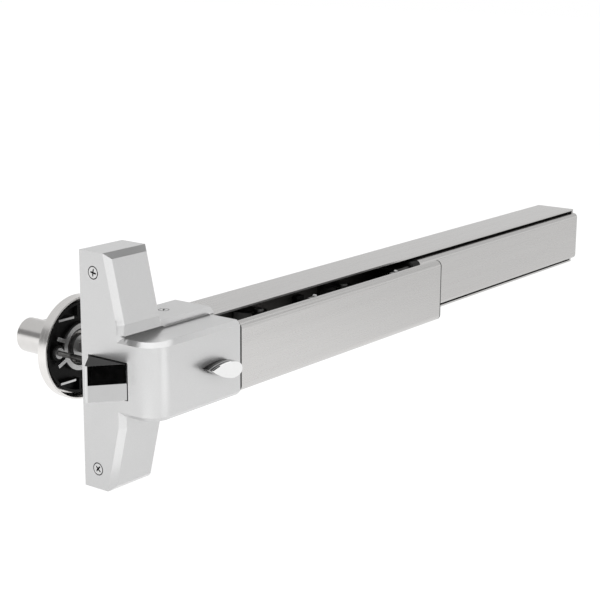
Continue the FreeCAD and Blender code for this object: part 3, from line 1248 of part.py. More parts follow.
def lever():
    """The outside lever with its core."""
    bore = "(key_plug_radius + running_gap)"
    hub = turned("hub", [(bore, HUB_START), ("lever_hub_radius", HUB_START),
                         ("lever_hub_radius", f"{HUB_END} - lever_hub_seat"),
                         ("lever_hub_radius - lever_hub_seat", HUB_END), (bore, HUB_END)])
    grip = body("grip")
    middle = f"({HUB_END} - lever_grip_inset)"
    root = "(spindle_x + lever_hub_radius/2)"
    tip = "(spindle_x + lever_length)"
    near_side = f"({middle} - lever_thickness/2)"
    far_side = f"({middle} + lever_thickness/2)"
    outline = [(root, far_side, "lever_bow_radius"), (tip, f"{far_side} - lever_drop"),
               (tip, f"{near_side} - lever_drop + lever_taper"),
               (f"{tip} - lever_taper", f"{near_side} - lever_drop"), (root, near_side)]
    solid = pad(grip, sketch(grip, "XY_Plane", [outline]), "lever_height", middle=True)
    half = number_of("lever_height/2")
    inner = number_of(root)
    dress(grip, "Fillet", solid, lambda spot: near(abs(spot.z), half) and not near(spot.x, inner),
          Radius="lever_round")
    way = rod("Y", "spindle_x", f"{HUB_START} - overrun", "0", bore, f"{HUB_END} - {HUB_START} + 2*overrun")
    node(cut(fuse(hub, grip), way), "outside_lever")
    core_start = f"({HUB_START} - core_length)"
    stub = f"{bore} - 2*running_gap"
    node(turned("core", [("0", core_start), ("core_radius", core_start), ("core_radius", HUB_START),
                         (stub, HUB_START), (stub, f"{HUB_START} + core_stub"),
                         ("0", f"{HUB_START} + core_stub")]), "lever_core")


def spindle():
    """The square spindle through the door and the retractor cam on its inner end."""
    half = "(spindle_side/2)"
    node(box(f"spindle_x - {half}", "-spindle_end", f"-{half}", "spindle_side",
             f"spindle_end + {HUB_START} - core_length", "spindle_side"), "square_spindle")
    thickness = "(spindle_end - plate_thickness - loose_gap)"
    bar = slab("spindle_x - retractor_width/2", "-spindle_end", "retractor_half_length",
               "retractor_width", thickness)
    boss = rod("Y", "spindle_x", "-spindle_end", "0", "spindle_side*sqrt(0.5) + ring_thickness", thickness)
    way = slab(f"spindle_x - {half}", "-(spindle_end + overrun)", half, "spindle_side", "spindle_end")
    node(cut(fuse(bar, boss), way), "retractor_cam")


def key_plug():
    """The key plug in the lever's hub, with its keyway and its flat tail."""
    start = f"({HUB_END} - key_plug_length)"
    plug = rod("Y", "spindle_x", start, "0", "key_plug_radius", "key_plug_length")
    keyway = box("spindle_x - keyway_width/2", f"{HUB_END} - keyway_depth", "-keyway_low",
                 "keyway_width", "keyway_depth + overrun", "keyway_low + keyway_high")
    ward = box("spindle_x - ward_size", f"{HUB_END} - keyway_depth", "-ward_size", "ward_size",
               "keyway_depth + overrun", "ward_size")
    tail = box("spindle_x - tail_half_width", f"{start} - tail_length", "-tail_thickness/2",
               "2*tail_half_width", "tail_length + overrun", "tail_thickness")
    node(fuse(cut(plug, keyway, ward), tail), "key_plug")


head_cover()
head_plate()
cover_screws()
latch_bolt()
latch_slide()
latch_fittings()
base_rail()
filler()
filler_plug()
rail_end()
push_pad()
pad_carriers()
for side_label, side_stud in STUDS.items():
    rocker(side_label, side_stud)
    rocker_bracket(side_label, side_stud)
actuating_rod()
rod_guides()
pad_stop()
thumbturn()
rose()
rose_fixings()
ring_plate()
lever()
spindle()
key_plug()

DOC.recompute()
faults = [thing.Label for thing in DOC.Objects if "Invalid" in thing.State or "Error" in thing.State]
for name, thing in NODES.items():
    if thing.Shape.isNull() or not thing.Shape.isValid() or not thing.Shape.Solids:
        faults.append(name)
if faults:
    raise RuntimeError("faulty: " + ", ".join(faults))

os.makedirs("parts", exist_ok=True)
for name, thing in NODES.items():
    thing.Shape.exportStep(os.path.join("parts", f"{name}.step"))
print(len(NODES), "sub-parts,", sum(len(thing.Shape.Solids) for thing in NODES.values()), "solids")
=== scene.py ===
"""Panic bar with outside trim, dressed for a picture.

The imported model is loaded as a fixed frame. Each sub-assembly is a class that makes its own finer
pieces and gives every sub-part of the frame its finish. Lengths are in metres.
"""

import json
import logging
import math
from dataclasses import dataclass, replace
from enum import Enum
from typing import Any, Optional, Sequence, Union

import bmesh
import bpy
import numpy as np
from mathutils import Matrix, Vector


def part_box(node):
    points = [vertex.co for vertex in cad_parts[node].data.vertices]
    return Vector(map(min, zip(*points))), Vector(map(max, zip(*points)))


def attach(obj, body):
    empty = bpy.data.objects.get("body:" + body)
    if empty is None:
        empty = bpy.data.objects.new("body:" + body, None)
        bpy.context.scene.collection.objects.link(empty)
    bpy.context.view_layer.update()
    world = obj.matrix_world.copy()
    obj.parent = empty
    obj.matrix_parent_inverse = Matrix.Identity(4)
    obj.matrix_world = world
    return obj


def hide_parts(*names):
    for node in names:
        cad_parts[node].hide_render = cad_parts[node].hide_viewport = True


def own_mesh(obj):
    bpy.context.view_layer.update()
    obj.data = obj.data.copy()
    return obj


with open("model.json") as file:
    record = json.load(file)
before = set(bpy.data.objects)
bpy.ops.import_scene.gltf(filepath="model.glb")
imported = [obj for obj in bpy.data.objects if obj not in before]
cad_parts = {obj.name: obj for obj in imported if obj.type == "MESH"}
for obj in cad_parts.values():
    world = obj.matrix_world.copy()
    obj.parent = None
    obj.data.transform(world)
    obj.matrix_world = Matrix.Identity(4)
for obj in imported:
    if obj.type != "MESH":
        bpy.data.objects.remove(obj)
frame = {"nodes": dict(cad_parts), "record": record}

LOG = logging.getLogger("panic_bar")
Pair = tuple[float, float]
Triple = tuple[float, float, float]
Tint = Union[Triple, bpy.types.NodeSocket]
MM = 0.001
TURN = 2.0 * np.pi

# Points nearer than these count as one, in new grids and on the sub-parts.
DOUBLES = 0.0001 * MM
WELD = 0.002 * MM

# Edges sharper than this, in degrees, are broken.
SOFT_ANGLE = 28.0

LEFT = (-1, 0, 0)
RIGHT = (1, 0, 0)
FORWARD = (0, -1, 0)


# Shader maths

def feed(tree: bpy.types.NodeTree, socket: bpy.types.NodeSocket, value: Any) -> None:
    """Links a field or a socket to an input, or sets the input's own value.

    Args:
        tree: the node tree of both.
        socket: the input.
        value: a Field, an output socket, a number, or three numbers.
    """
    if isinstance(value, Field):
        value = value.socket
    if isinstance(value, bpy.types.NodeSocket):
        tree.links.new(value, socket)
    elif socket.type == "RGBA":
        socket.default_value = (*value, 1.0)
    else:
        socket.default_value = value


class Field:
    """A number that varies over a surface, on which ordinary sums add their Math nodes."""

    def __init__(self, tree: bpy.types.NodeTree, socket: bpy.types.NodeSocket) -> None:
        """Wraps an output socket.

        Args:
            tree: the node tree that gets the new nodes.
            socket: the output that carries the number.
        """
        self.tree = tree
        self.socket = socket

    def maths(self, operation: str, *values: Union["Field", float], clamp: bool = False) -> "Field":
        """Adds one Math node.

        Args:
            operation: the Math node's operation.
            values: its inputs in order.
            clamp: keeps the result between 0 and 1.

        Returns:
            The node's result.
        """
        node = self.tree.nodes.new("ShaderNodeMath")
        node.operation = operation
        node.use_clamp = clamp
        for slot, value in zip(node.inputs, values):
            feed(self.tree, slot, value)
        return Field(self.tree, node.outputs[0])

    def __add__(self, other: Union["Field", float]) -> "Field":
        """The sum."""
        return self.maths("ADD", self, other)

    def __mul__(self, other: Union["Field", float]) -> "Field":
        """The product."""
        return self.maths("MULTIPLY", self, other)

    def __sub__(self, other: Union["Field", float]) -> "Field":
        """The difference."""
        return self.maths("SUBTRACT", self, other)

    def __rsub__(self, other: float) -> "Field":
        """A number less this."""
        return self.maths("SUBTRACT", other, self)

    def step(self, low: float, high: float) -> "Field":
        """A smooth step from 0 below low to 1 above high."""
        node = self.tree.nodes.new("ShaderNodeMapRange")
        node.interpolation_type = "SMOOTHSTEP"
        for slot, value in zip(node.inputs, (self, low, high)):
            feed(self.tree, slot, value)
        return Field(self.tree, node.outputs[0])

    def span(self, other: "Field") -> "Field":
        """The length of the diagonal over this and another number."""
        return self.maths("SQRT", self * self + other * other)


class Surface:
    """A material under construction round one Principled shader."""

    def __init__(self, name: str) -> None:
        """Starts an empty material.

        Args:
            name: the material's name.
        """
        self.material = bpy.data.materials.new(name)
        self.material.use_nodes = True
        self.tree = self.material.node_tree
        self.shader = self.tree.nodes["Principled BSDF"]
        self.spot = self.node("ShaderNodeTexCoord").outputs["Object"]
        self.height: Optional[bpy.types.Node] = None

    def node(self, kind: str, **inputs: Any) -> bpy.types.Node:
        """Adds any node.

        Args:
            kind: the node's type.
            inputs: socket names, with underscores for spaces, and their values or links.

        Returns:
            The node.
        """
        made = self.tree.nodes.new(kind)
        for key, value in inputs.items():
            feed(self.tree, made.inputs[key.replace("_", " ")], value)
        return made

    def set(self, **values: Any) -> None:
        """Sets the shader's own sockets, constants or links.

        Args:
            values: socket names with underscores for spaces.
        """
        for key, value in values.items():
            feed(self.tree, self.shader.inputs[key.replace("_", " ")], value)

    def noise(self, scale: Union[float, Triple], detail: float = 3.0, rough: float = 0.55) -> Field:
        """Fractal noise between about 0 and 1.

        Args:
            scale: cells per metre, the same along all axes or one for each.
            detail: octaves.
            rough: share of the finer octaves.

        Returns:
            The noise.
        """
        scales = scale if isinstance(scale, tuple) else (scale, scale, scale)
        point = self.node("ShaderNodeMapping", Vector=self.spot, Scale=scales).outputs[0]
        made = self.node("ShaderNodeTexNoise", Vector=point, Scale=1.0, Detail=detail,
                         Roughness=rough)
        return Field(self.tree, made.outputs[0])

    def cells(self, scale: float) -> Field:
        """A random number for each small cell, as of metal flakes.

        Args:
            scale: cells per metre.

        Returns:
            The number, between 0 and 1.
        """
        made = self.node("ShaderNodeTexVoronoi", Vector=self.spot, Scale=scale)
        parted = self.node("ShaderNodeSeparateColor", Color=made.outputs["Color"])
        return Field(self.tree, parted.outputs[0])

    def place(self) -> tuple[Field, Field, Field]:
        """The place on the object as three numbers in metres."""
        parted = self.node("ShaderNodeSeparateXYZ", Vector=self.spot)
        return tuple(Field(self.tree, parted.outputs[index]) for index in range(3))

    def rings(self, centre: Triple, scale: Triple) -> Field:
        """Fractal noise whose marks run round an axis along Y.

        Args:
            centre: a point on the axis.
            scale: cells per metre outwards, along the axis and across it.

        Returns:
            The noise.
        """
        across, depth, up = (axis - start for axis, start in zip(self.place(), centre))
        point = self.node("ShaderNodeCombineXYZ", X=across.span(up) * scale[0],
                          Y=depth * scale[1], Z=(across + up) * scale[2]).outputs[0]
        made = self.node("ShaderNodeTexNoise", Vector=point, Scale=1.0, Detail=3.0)
        return Field(self.tree, made.outputs[0])

    def shade(self, amount: Field, dark: Tint, light: Tint) -> bpy.types.NodeSocket:
        """A colour between two.

        Args:
            amount: 0 for the dark colour and 1 for the light one.
            dark: the dark colour, or a socket that carries it.
            light: the light colour, or a socket that carries it.

        Returns:
            The colour's socket.
        """
        made = self.node("ShaderNodeMix")
        made.data_type = "RGBA"
        for index, value in ((0, amount), (6, dark), (7, light)):
            feed(self.tree, made.inputs[index], value)
        return made.outputs[2]

    def relief(self, height: Field, strength: float, depth: float) -> None:
        """Adds small relief to the surface.

        Args:
            height: the relief, 0 to 1.
            strength: how strongly it shows.
            depth: its depth in metres.
        """
        made = self.node("ShaderNodeBump", Height=height, Strength=strength, Distance=depth)
        if self.height is not None:
            feed(self.tree, made.inputs["Normal"], self.height.outputs[0])
        self.height = made
        self.set(Normal=made.outputs[0])


# Finishes

class Grain(Enum):
    """Which way a brushed finish runs."""

    ALONG_BAR = "along the bar"
    ROUND_AXIS = "round the spindle's axis"


def grey(level: float, warmth: float = 0.0) -> Triple:
    """A grey, a little warmer or colder.

    Args:
        level: how light, as a linear value.
        warmth: share taken from blue and given to red.

    Returns:
        The colour.
    """
    return (level * (1.0 + warmth), level, level * (1.0 - warmth))


@dataclass(frozen=True)
class SilverPaint:
    """Silver paint with fine flakes under a clear coat, as on a die-cast cover."""

    light: float = 0.67
    dark: float = 0.61
    flakes_per_metre: float = 4200.0

    def build(self) -> bpy.types.Material:
        """Makes the material."""
        surface = Surface("silver_paint")
        flake = surface.cells(self.flakes_per_metre)
        cloud = surface.noise(55.0, 2.0)
        surface.set(Base_Color=surface.shade(flake * 0.75 + cloud * 0.25, grey(self.dark),
                                             grey(self.light)),
                    Metallic=0.80, Roughness=flake * 0.05 + 0.29, Coat_Weight=0.5,
                    Coat_Roughness=0.07)
        surface.relief(surface.noise(700.0, 2.0), 0.08, 0.20 * MM)
        surface.relief(flake, 0.02, 0.10 * MM)
        return surface.material


@dataclass(frozen=True)
class BrushedSteel:
    """Satin stainless sheet or nickel, with fine marks that run one way."""

    name: str
    grain: Grain
    light: float
    dark: float
    warmth: float
    rough: float
    # Half height of the channel's inside, under which its inner side gets painted shade.
    inside: Optional[float] = None
    # Place along the bar short of which the pad is darker, a thin band at its end.
    dark_band_end: Optional[float] = None
    upper_fade: Pair = (0.1 * MM, 0.0)
    lower_fade: Pair = (1.0 * MM, 2.0 * MM)
    back_fade: Pair = (-0.5 * MM, -1.0 * MM)
    edge_fade: float = 0.05 * MM
    spindle: Triple = (0.021, 0.05, 0.0)

    def build(self) -> bpy.types.Material:
        """Makes the material.

        With a half height given for the inside, what lies below that, above the lower flange and
        in front of the back sheet is the channel's inner side, darkened with painted shade and made
        rougher. What lies nearer to the latch than the given place along the bar is darker, in a
        thin band at the pad's end.
        """
        surface = Surface(self.name)
        if self.grain is Grain.ALONG_BAR:
            marks = surface.noise((18.0, 2400.0, 2400.0), 3.0, 0.6)
        else:
            marks = surface.rings(self.spindle, (2600.0, 2600.0, 22.0))
        wide = surface.noise((3.0, 160.0, 160.0), 2.0)
        tone = (marks * 0.5 + wide * 0.5).step(0.2, 0.8)
        colour = surface.shade(tone, grey(self.dark, self.warmth), grey(self.light, self.warmth))
        rough = marks * 0.08 + (self.rough - 0.04)
        if self.inside is not None:
            # Painted shade: the channel's inner side, where little light reaches, is darkened.
            depth, height = surface.place()[1:]
            below = height.step(*(self.inside + fade for fade in self.upper_fade))
            above = height.step(*(fade - self.inside for fade in self.lower_fade))
            channel_shade = below * above * depth.step(*self.back_fade)
            colour = surface.shade(channel_shade, colour, grey(0.10, 0.04))
            rough = rough + channel_shade * 0.3
        if self.dark_band_end is not None:
            # A thin darker band at the pad's end.
            edge = surface.place()[0].step(self.dark_band_end, self.dark_band_end - self.edge_fade)
            colour = surface.shade(edge, colour, grey(0.03))
        surface.set(Base_Color=colour, Metallic=1.0, Roughness=rough)
        surface.relief(marks, 0.04, 0.03 * MM)
        return surface.material


@dataclass(frozen=True)
class PlatedSteel:
    """Zinc-plated pressings, with faint patches."""

    name: str
    light: float
    dark: float
    warmth: float = 0.02

    def build(self) -> bpy.types.Material:
        """Makes the material."""
        surface = Surface(self.name)
        patch = surface.noise(90.0, 4.0, 0.6)
        fine = surface.noise(1500.0, 2.0)
        surface.set(Base_Color=surface.shade(patch.step(0.3, 0.7), grey(self.dark, self.warmth),
                                             grey(self.light, self.warmth)),
                    Metallic=1.0, Roughness=patch * 0.22 + fine * 0.08 + 0.20)
        surface.relief(fine, 0.08, 0.05 * MM)
        return surface.material


@dataclass(frozen=True)
class ScrewSteel:
    """Bright steel of a mirrored pair of screws, with painted shade in their recesses and round
    their rims.

    Attributes:
        name: the material's name.
        axis: the coordinate along which the heads face, 0 to 2.
        face: its size at their faces.
        centre: size of the other two coordinates at their middle.
        rim: the head's radius inside its bevel.
        recess: depths under the face over which the painted shade sets in.
        groove: distances inside the rim over which the painted shade sets in.
    """

    name: str
    axis: int
    face: float
    centre: Pair
    rim: float
    recess: Pair = (0.10 * MM, 0.35 * MM)
    groove: Pair = (0.32 * MM, 0.08 * MM)

    def build(self) -> bpy.types.Material:
        """Makes the material."""
        surface = Surface(self.name)
        fine = surface.noise(1500.0, 2.0)
        sizes = [axis.maths("ABSOLUTE", axis) for axis in surface.place()]
        deep = (self.face - sizes.pop(self.axis)).step(*self.recess)
        first, second = (size - start for size, start in zip(sizes, self.centre))
        outside = first.span(second).step(*(self.rim - inset for inset in self.groove))
        bright = surface.shade(fine, grey(0.60), grey(0.72))
        # Painted shade: black in the cross recess and in the groove round the head's rim.
        recess_shade = deep.maths("MAXIMUM", deep, outside)
        surface.set(Base_Color=surface.shade(recess_shade, bright, grey(0.02)), Metallic=1.0,
                    Roughness=fine * 0.1 + 0.22)
        return surface.material


@dataclass(frozen=True)
class Chrome:
    """Polished chrome with a trace of handling.

    Where a depth is given, the side behind it is darkened in a band, and again past a lighter gap:
    painted shade and painted reflections of the dark seat beside it.
    """

    name: str
    painted_shade_from: Optional[float] = None
    band: Pair = (0.0, 1.4 * MM)
    gap: Pair = (2.2 * MM, 2.7 * MM)
    rest: Pair = (3.2 * MM, 3.7 * MM)

    def build(self) -> bpy.types.Material:
        """Makes the material."""
        surface = Surface(self.name)
        haze = surface.noise(60.0, 4.0, 0.6)
        colour = surface.shade(haze, grey(0.80), grey(0.88))
        if self.painted_shade_from is not None:
            # Painted shade and painted reflection bands on the side behind the given depth.
            depth = surface.place()[1] - self.painted_shade_from
            painted_bands = depth.step(*self.band) - depth.step(*self.gap) * 0.9
            painted_bands = painted_bands + depth.step(*self.rest) * 0.9
            colour = surface.shade(painted_bands, colour, grey(0.10))
        surface.set(Base_Color=colour, Metallic=1.0,
                    Roughness=haze.step(0.35, 0.80) * 0.04 + 0.012)
        surface.relief(surface.noise(220.0, 1.0), 0.02, 0.10 * MM)
        return surface.material


@dataclass(frozen=True)
class BlackPlastic:
    """Moulded black plastic or rubber with a fine grain."""

    name: str
    light: float = 0.008
    dark: float = 0.003
    rough: float = 0.42
    shine: float = 0.16

    def build(self) -> bpy.types.Material:
        """Makes the material."""
        surface = Surface(self.name)
        fine = surface.noise(1300.0, 2.0)
        dust = surface.noise(35.0)
        colour = surface.shade(dust.step(0.35, 0.75), grey(self.dark), grey(self.light))
        surface.set(Base_Color=colour, Roughness=fine * 0.18 + (self.rough - 0.09),
                    Specular_IOR_Level=self.shine)
        surface.relief(fine, 0.20, 0.10 * MM)
        return surface.material


@dataclass(frozen=True)
class Casting:
    """Bare zinc casting or brass, with a slightly pitted skin."""

    name: str
    light: Triple
    dark: Triple
    rough: float = 0.42

    def build(self) -> bpy.types.Material:
        """Makes the material."""
        surface = Surface(self.name)
        skin = surface.noise(420.0, 4.0, 0.65)
        surface.set(Base_Color=surface.shade(skin.step(0.25, 0.75), self.dark, self.light),
                    Metallic=1.0, Roughness=skin * 0.2 + (self.rough - 0.1))
        surface.relief(skin, 0.22, 0.20 * MM)
        return surface.material


STAINLESS = BrushedSteel("satin_stainless", Grain.ALONG_BAR, 0.64, 0.605, 0.014, 0.28)
# Half height of the rail's channel, under which its inner side gets painted shade.
CHANNEL_SHADE_HEIGHT = 25.25 * MM


class Finishes:
    """The bar's general finishes, each built once."""

    def __init__(self) -> None:
        """Builds the materials."""
        self.paint = SilverPaint().build()
        self.satin = STAINLESS.build()
        self.channel = replace(STAINLESS, name="rail_stainless", inside=CHANNEL_SHADE_HEIGHT).build()
        self.nickel = BrushedSteel("satin_nickel", Grain.ROUND_AXIS, 0.86, 0.78, 0.02, 0.26).build()
        self.lever = BrushedSteel("lever_nickel", Grain.ALONG_BAR, 0.76, 0.68, 0.02, 0.24).build()
        self.plated = PlatedSteel("plated_steel", 0.11, 0.07).build()
        self.bright = PlatedSteel("bright_steel", 0.70, 0.58, 0.0).build()
        self.chrome = Chrome("polished_chrome").build()
        self.black = BlackPlastic("black_plastic").build()
        self.rubber = BlackPlastic("black_rubber", 0.012, 0.006, 0.62).build()
        self.zinc = Casting("zinc_casting", grey(0.09), grey(0.05)).build()
        self.brass = Casting("brass", (0.72, 0.55, 0.26), (0.58, 0.42, 0.18), 0.3).build()


# Meshes from parametric surfaces

def placed(name: str, data: bpy.types.ID) -> bpy.types.Object:
    """Puts an object into the scene.

    Args:
        name: the object's name.
        data: its mesh, camera or lamp.

    Returns:
        The object.
    """
    made = bpy.data.objects.new(name, data)
    bpy.context.scene.collection.objects.link(made)
    return made


def as_object(name: str, points: np.ndarray, wraps: bool) -> bpy.types.Object:
    """A mesh from a grid of points, with its rows joined by quads.

    Args:
        name: the object's name.
        points: array of rows, columns and three coordinates.
        wraps: whether the last column meets the first.

    Returns:
        The object, smooth, with poles and doubles merged and faces outwards.
    """
    rows, columns = points.shape[:2]
    down = np.arange(rows - 1)[:, None]
    across = np.arange(columns if wraps else columns - 1)[None, :]
    right = (across + 1) % columns
    quads = np.stack([down * columns + across, down * columns + right, (down + 1) * columns + right,
                      (down + 1) * columns + across], axis=-1).reshape(-1, 4)
    mesh = bpy.data.meshes.new(name)
    mesh.from_pydata(points.reshape(-1, 3).tolist(), [], quads.tolist())
    clean = bmesh.new()
    clean.from_mesh(mesh)
    bmesh.ops.remove_doubles(clean, verts=clean.verts, dist=DOUBLES)
    bmesh.ops.recalc_face_normals(clean, faces=clean.faces)
    clean.to_mesh(mesh)
    clean.free()
    mesh.polygons.foreach_set("use_smooth", np.ones(len(mesh.polygons), dtype=bool))
    return placed(name, mesh)


def merged(name: str, pieces: Sequence[bpy.types.Object]) -> bpy.types.Object:
    """One object from several.

    Args:
        name: the object's name.
        pieces: the objects to join, which go.

    Returns:
        The joined object.
    """
    clean = bmesh.new()
    for piece in pieces:
        clean.from_mesh(piece.data)
    mesh = bpy.data.meshes.new(name)
    clean.to_mesh(mesh)
    clean.free()
    for piece in pieces:
        bpy.data.objects.remove(piece)
    return placed(name, mesh)


def stand(points: np.ndarray, foot: Triple, axis: Triple, spin: float = 0.0) -> np.ndarray:
    """Turns points made along +Z so that they run along an axis, and moves them.

    Args:
        points: the points.
        foot: where the origin goes.
        axis: where +Z goes.
        spin: turn about the axis first, in radians.

    Returns:
        The moved points.
    """
    aimed = Vector((0, 0, 1)).rotation_difference(Vector(axis)).to_matrix()
    turned = aimed @ Matrix.Rotation(spin, 3, "Z")
    return points @ np.array(turned).T + np.array(foot)


def crease(piece: bpy.types.Object, sharp: float) -> bpy.types.Object:
    """Keeps edges over an angle sharp and the rest smooth.

    Args:
        piece: the object.
        sharp: the angle in degrees.

    Returns:
        The same object.
    """
    mesh = bmesh.new()
    mesh.from_mesh(piece.data)
    limit = math.radians(sharp)
    for edge in mesh.edges:
        edge.smooth = len(edge.link_faces) == 2 and edge.calc_face_angle(0.0) < limit
    mesh.to_mesh(piece.data)
    mesh.free()
    return piece


@dataclass(frozen=True)
class CrossScrew:
    """A countersunk screw with a cross recess. Its shares are of the head's radius."""

    head_radius: float
    length: float
    shank_radius: float = 2.0 * MM
    recess: float = 1.5 * MM
    half_width_share: float = 0.098
    reach_share: float = 0.62
    wall_share: float = 0.05
    run_out_share: float = 0.34
    columns: int = 120

    def profile(self) -> tuple[np.ndarray, np.ndarray, int]:
        """The turned outline.

        It runs from the top's middle out to the rim, in along the cone, down the shank and to its
        middle.

        Returns:
            The radius and the height of its points, and how many of them lie on the flat top.
        """
        rim = self.head_radius
        cone = rim - self.shank_radius
        top = np.linspace(0.0, rim * 0.985, 44)
        ways = [(rim, -0.015 * rim), (rim, -0.05 * rim)]
        ways += [(rim - cone * share, -0.05 * rim - cone * share * 0.95)
                 for share in np.linspace(0.1, 1.0, 6)]
        ways += [(self.shank_radius, -self.length * 0.96), (self.shank_radius * 0.7, -self.length),
                 (0.0, -self.length)]
        return (np.concatenate([top, [way[0] for way in ways]]),
                np.concatenate([np.zeros_like(top), [way[1] for way in ways]]), len(top))

    def slot(self, along: np.ndarray, beside: np.ndarray) -> np.ndarray:
        """The mask of one slot of the cross.

        Args:
            along: place along the slot.
            beside: place beside its middle line.

        Returns:
            1 on the slot's bottom and 0 outside it, with straight ramps at its walls and ends.
        """
        half_width, reach, wall, run_out = (share * self.head_radius for share in (
            self.half_width_share, self.reach_share, self.wall_share, self.run_out_share))
        inside = np.clip((half_width - np.abs(beside)) / wall + 0.5, 0.0, 1.0)
        return inside * np.clip((reach - np.abs(along)) / run_out, 0.0, 1.0)

    def points(self) -> np.ndarray:
        """The turned profile, with the cross sunk into its flat top.

        On the top, the height is minus the recess times the larger of the two slots' masks.

        Returns:
            The grid of points, with the head at z = 0 and the shank towards -z.
        """
        radius, height, top = self.profile()
        angle = np.linspace(0.0, TURN, self.columns, endpoint=False)
        x = radius[:, None] * np.cos(angle)[None, :]
        y = radius[:, None] * np.sin(angle)[None, :]
        mask = np.maximum(self.slot(x, y), self.slot(y, x))
        mask[top:] = 0.0
        return np.stack([x, y, height[:, None] - self.recess * mask], axis=-1)

    def build(self, name: str, foot: Triple, axis: Triple, spin: float) -> bpy.types.Object:
        """One screw in its place.

        Args:
            name: the object's name.
            foot: middle of the head's face.
            axis: the way the head faces.
            spin: how the cross is turned, in radians.

        Returns:
            The screw.
        """
        return crease(as_object(name, stand(self.points(), foot, axis, spin), True), sharp=50.0)


@dataclass(frozen=True)
class Coil:
    """A coil spring of round wire with flat ends."""

    radius: float
    wire: float
    turns: float
    flat_turns: float = 0.75
    steps_per_turn: int = 40
    columns: int = 14

    def points(self, length: float) -> np.ndarray:
        """A circle of the wire's radius carried along a helix.

        The helix climbs evenly, but lies flat over its first and last turns: its height is a
        straight ramp of the turn, clipped at both ends. Each ring of points stands square to the
        helix, in the plane of the outward direction and the binormal.

        Args:
            length: the spring's length.

        Returns:
            The grid of points, standing on z = 0.
        """
        turn = np.linspace(0.0, self.turns, int(self.turns * self.steps_per_turn))
        share = (turn - self.flat_turns) / (self.turns - 2.0 * self.flat_turns)
        height = self.wire + np.clip(share, 0.0, 1.0) * (length - 2.0 * self.wire)
        angle = TURN * turn
        path = np.stack([self.radius * np.cos(angle), self.radius * np.sin(angle), height], axis=-1)
        out = np.stack([np.cos(angle), np.sin(angle), np.zeros_like(angle)], axis=-1)
        tangent = np.gradient(path, axis=0)
        tangent /= np.linalg.norm(tangent, axis=1, keepdims=True)
        side = np.cross(tangent, out)
        ring = np.linspace(0.0, TURN, self.columns, endpoint=False)
        tube = (path[:, None, :] + self.wire * (np.cos(ring)[None, :, None] * out[:, None, :]
                                                + np.sin(ring)[None, :, None] * side[:, None, :]))
        start = np.repeat(path[:1, None, :], ring.size, axis=1)
        end = np.repeat(path[-1:, None, :], ring.size, axis=1)
        return np.concatenate([start, tube, end])

    def build(self, name: str, foot: Triple, length: float) -> bpy.types.Object:
        """One spring in its place along the bar.

        Args:
            name: the object's name.
            foot: middle of its left end.
            length: the spring's length.

        Returns:
            The spring.
        """
        return as_object(name, stand(self.points(length), foot, RIGHT), True)


@dataclass(frozen=True)
class ThreadedBolt:
    """A bolt with a thread near its end and a round head with a hexagon socket.

    The socket's shares are of the head's radius, but its depth is a share of the head's height.
    """

    radius: float = 1.95 * MM
    head_radius: float = 3.8 * MM
    head_height: float = 2.6 * MM
    thread_length: float = 16.0 * MM
    thread_depth: float = 0.3 * MM
    pitch: float = 0.7 * MM
    socket_share: float = 0.42
    wall_share: float = 0.05
    depth_share: float = 0.6
    columns: int = 48

    def points(self, length: float) -> np.ndarray:
        """A turned profile with a thread.

        Along the thread the radius drops by a triangle wave of the height over the pitch less the
        turn, so that the wave climbs one pitch a turn. The head's top is lowered inside a hexagon:
        the socket's wall is where the largest of the distances along three directions reaches its
        half width.

        Args:
            length: from the head's face to the bolt's end.

        Returns:
            The grid of points: the head's face at z = 0, the shank towards -z.
        """
        top = np.linspace(0.0, self.head_radius * 0.92, 30)
        plain_end = self.thread_length - length
        thread = np.linspace(plain_end, -length, int(self.thread_length / self.pitch * 10))
        radius = np.concatenate([top, [self.head_radius] * 2, [self.radius] * (2 + thread.size),
                                 [0.0]])
        height = np.concatenate([np.zeros_like(top),
                                 [-0.15 * self.head_height, -self.head_height, -self.head_height,
                                  plain_end + 0.2 * MM], thread, [-length]])
        angle = np.linspace(0.0, TURN, self.columns, endpoint=False)
        radii = np.repeat(radius[:, None], angle.size, axis=1)
        z = np.repeat(height[:, None], angle.size, axis=1)
        first = len(top) + 4
        turn = z[first:-1] / self.pitch - angle[None, :] / TURN
        radii[first:-1] -= self.thread_depth * 2.0 * np.abs(turn - np.floor(turn + 0.5))
        x = radii * np.cos(angle)[None, :]
        y = radii * np.sin(angle)[None, :]
        ways = np.arange(3) * np.pi / 3.0
        across = np.max(np.abs(x[..., None] * np.cos(ways) + y[..., None] * np.sin(ways)), axis=-1)
        inside = self.socket_share * self.head_radius - across
        socket = np.clip(inside / (self.wall_share * self.head_radius), 0.0, 1.0)
        socket[len(top):] = 0.0
        return np.stack([x, y, z - self.depth_share * self.head_height * socket], axis=-1)

    def build(self, name: str, foot: Triple, length: float) -> bpy.types.Object:
        """One bolt in its place, with its head to the front.

        Args:
            name: the object's name.
            foot: middle of the head's face.
            length: from the head's face to the bolt's end.

        Returns:
            The bolt.
        """
        return crease(as_object(name, stand(self.points(length), foot, FORWARD), True), sharp=40.0)


# Placing and dressing

def settle(piece: bpy.types.Object, finish: bpy.types.Material, node: str) -> None:
    """Puts a new steel piece on the base, gives it its finish and hides what it stands for.

    Args:
        piece: the new object.
        finish: its material.
        node: the sub-part that it replaces.
    """
    piece.data.materials.clear()
    piece.data.materials.append(finish)
    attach(piece, "base")
    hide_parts(node)
    LOG.info("piece %s for %s", piece.name, node)


def shorten(spring: bpy.types.Object, joint: str, low: Sequence[float],
            high: Sequence[float]) -> None:
    """Reads how far a slide pushes on a spring, and gives the spring a mesh of its own.

    Args:
        spring: the finished spring, along the bar.
        joint: the slide that pushes on it.
        low: lowest corner of the spring's box.
        high: highest corner of the spring's box.
    """
    rows = frame["record"]["behaviour"]["joints"]
    stroke = next(row["range_m"][1] for row in rows if row["name"] == joint)
    length = high[0] - low[0]
    (length - stroke) / length
    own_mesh(spring)


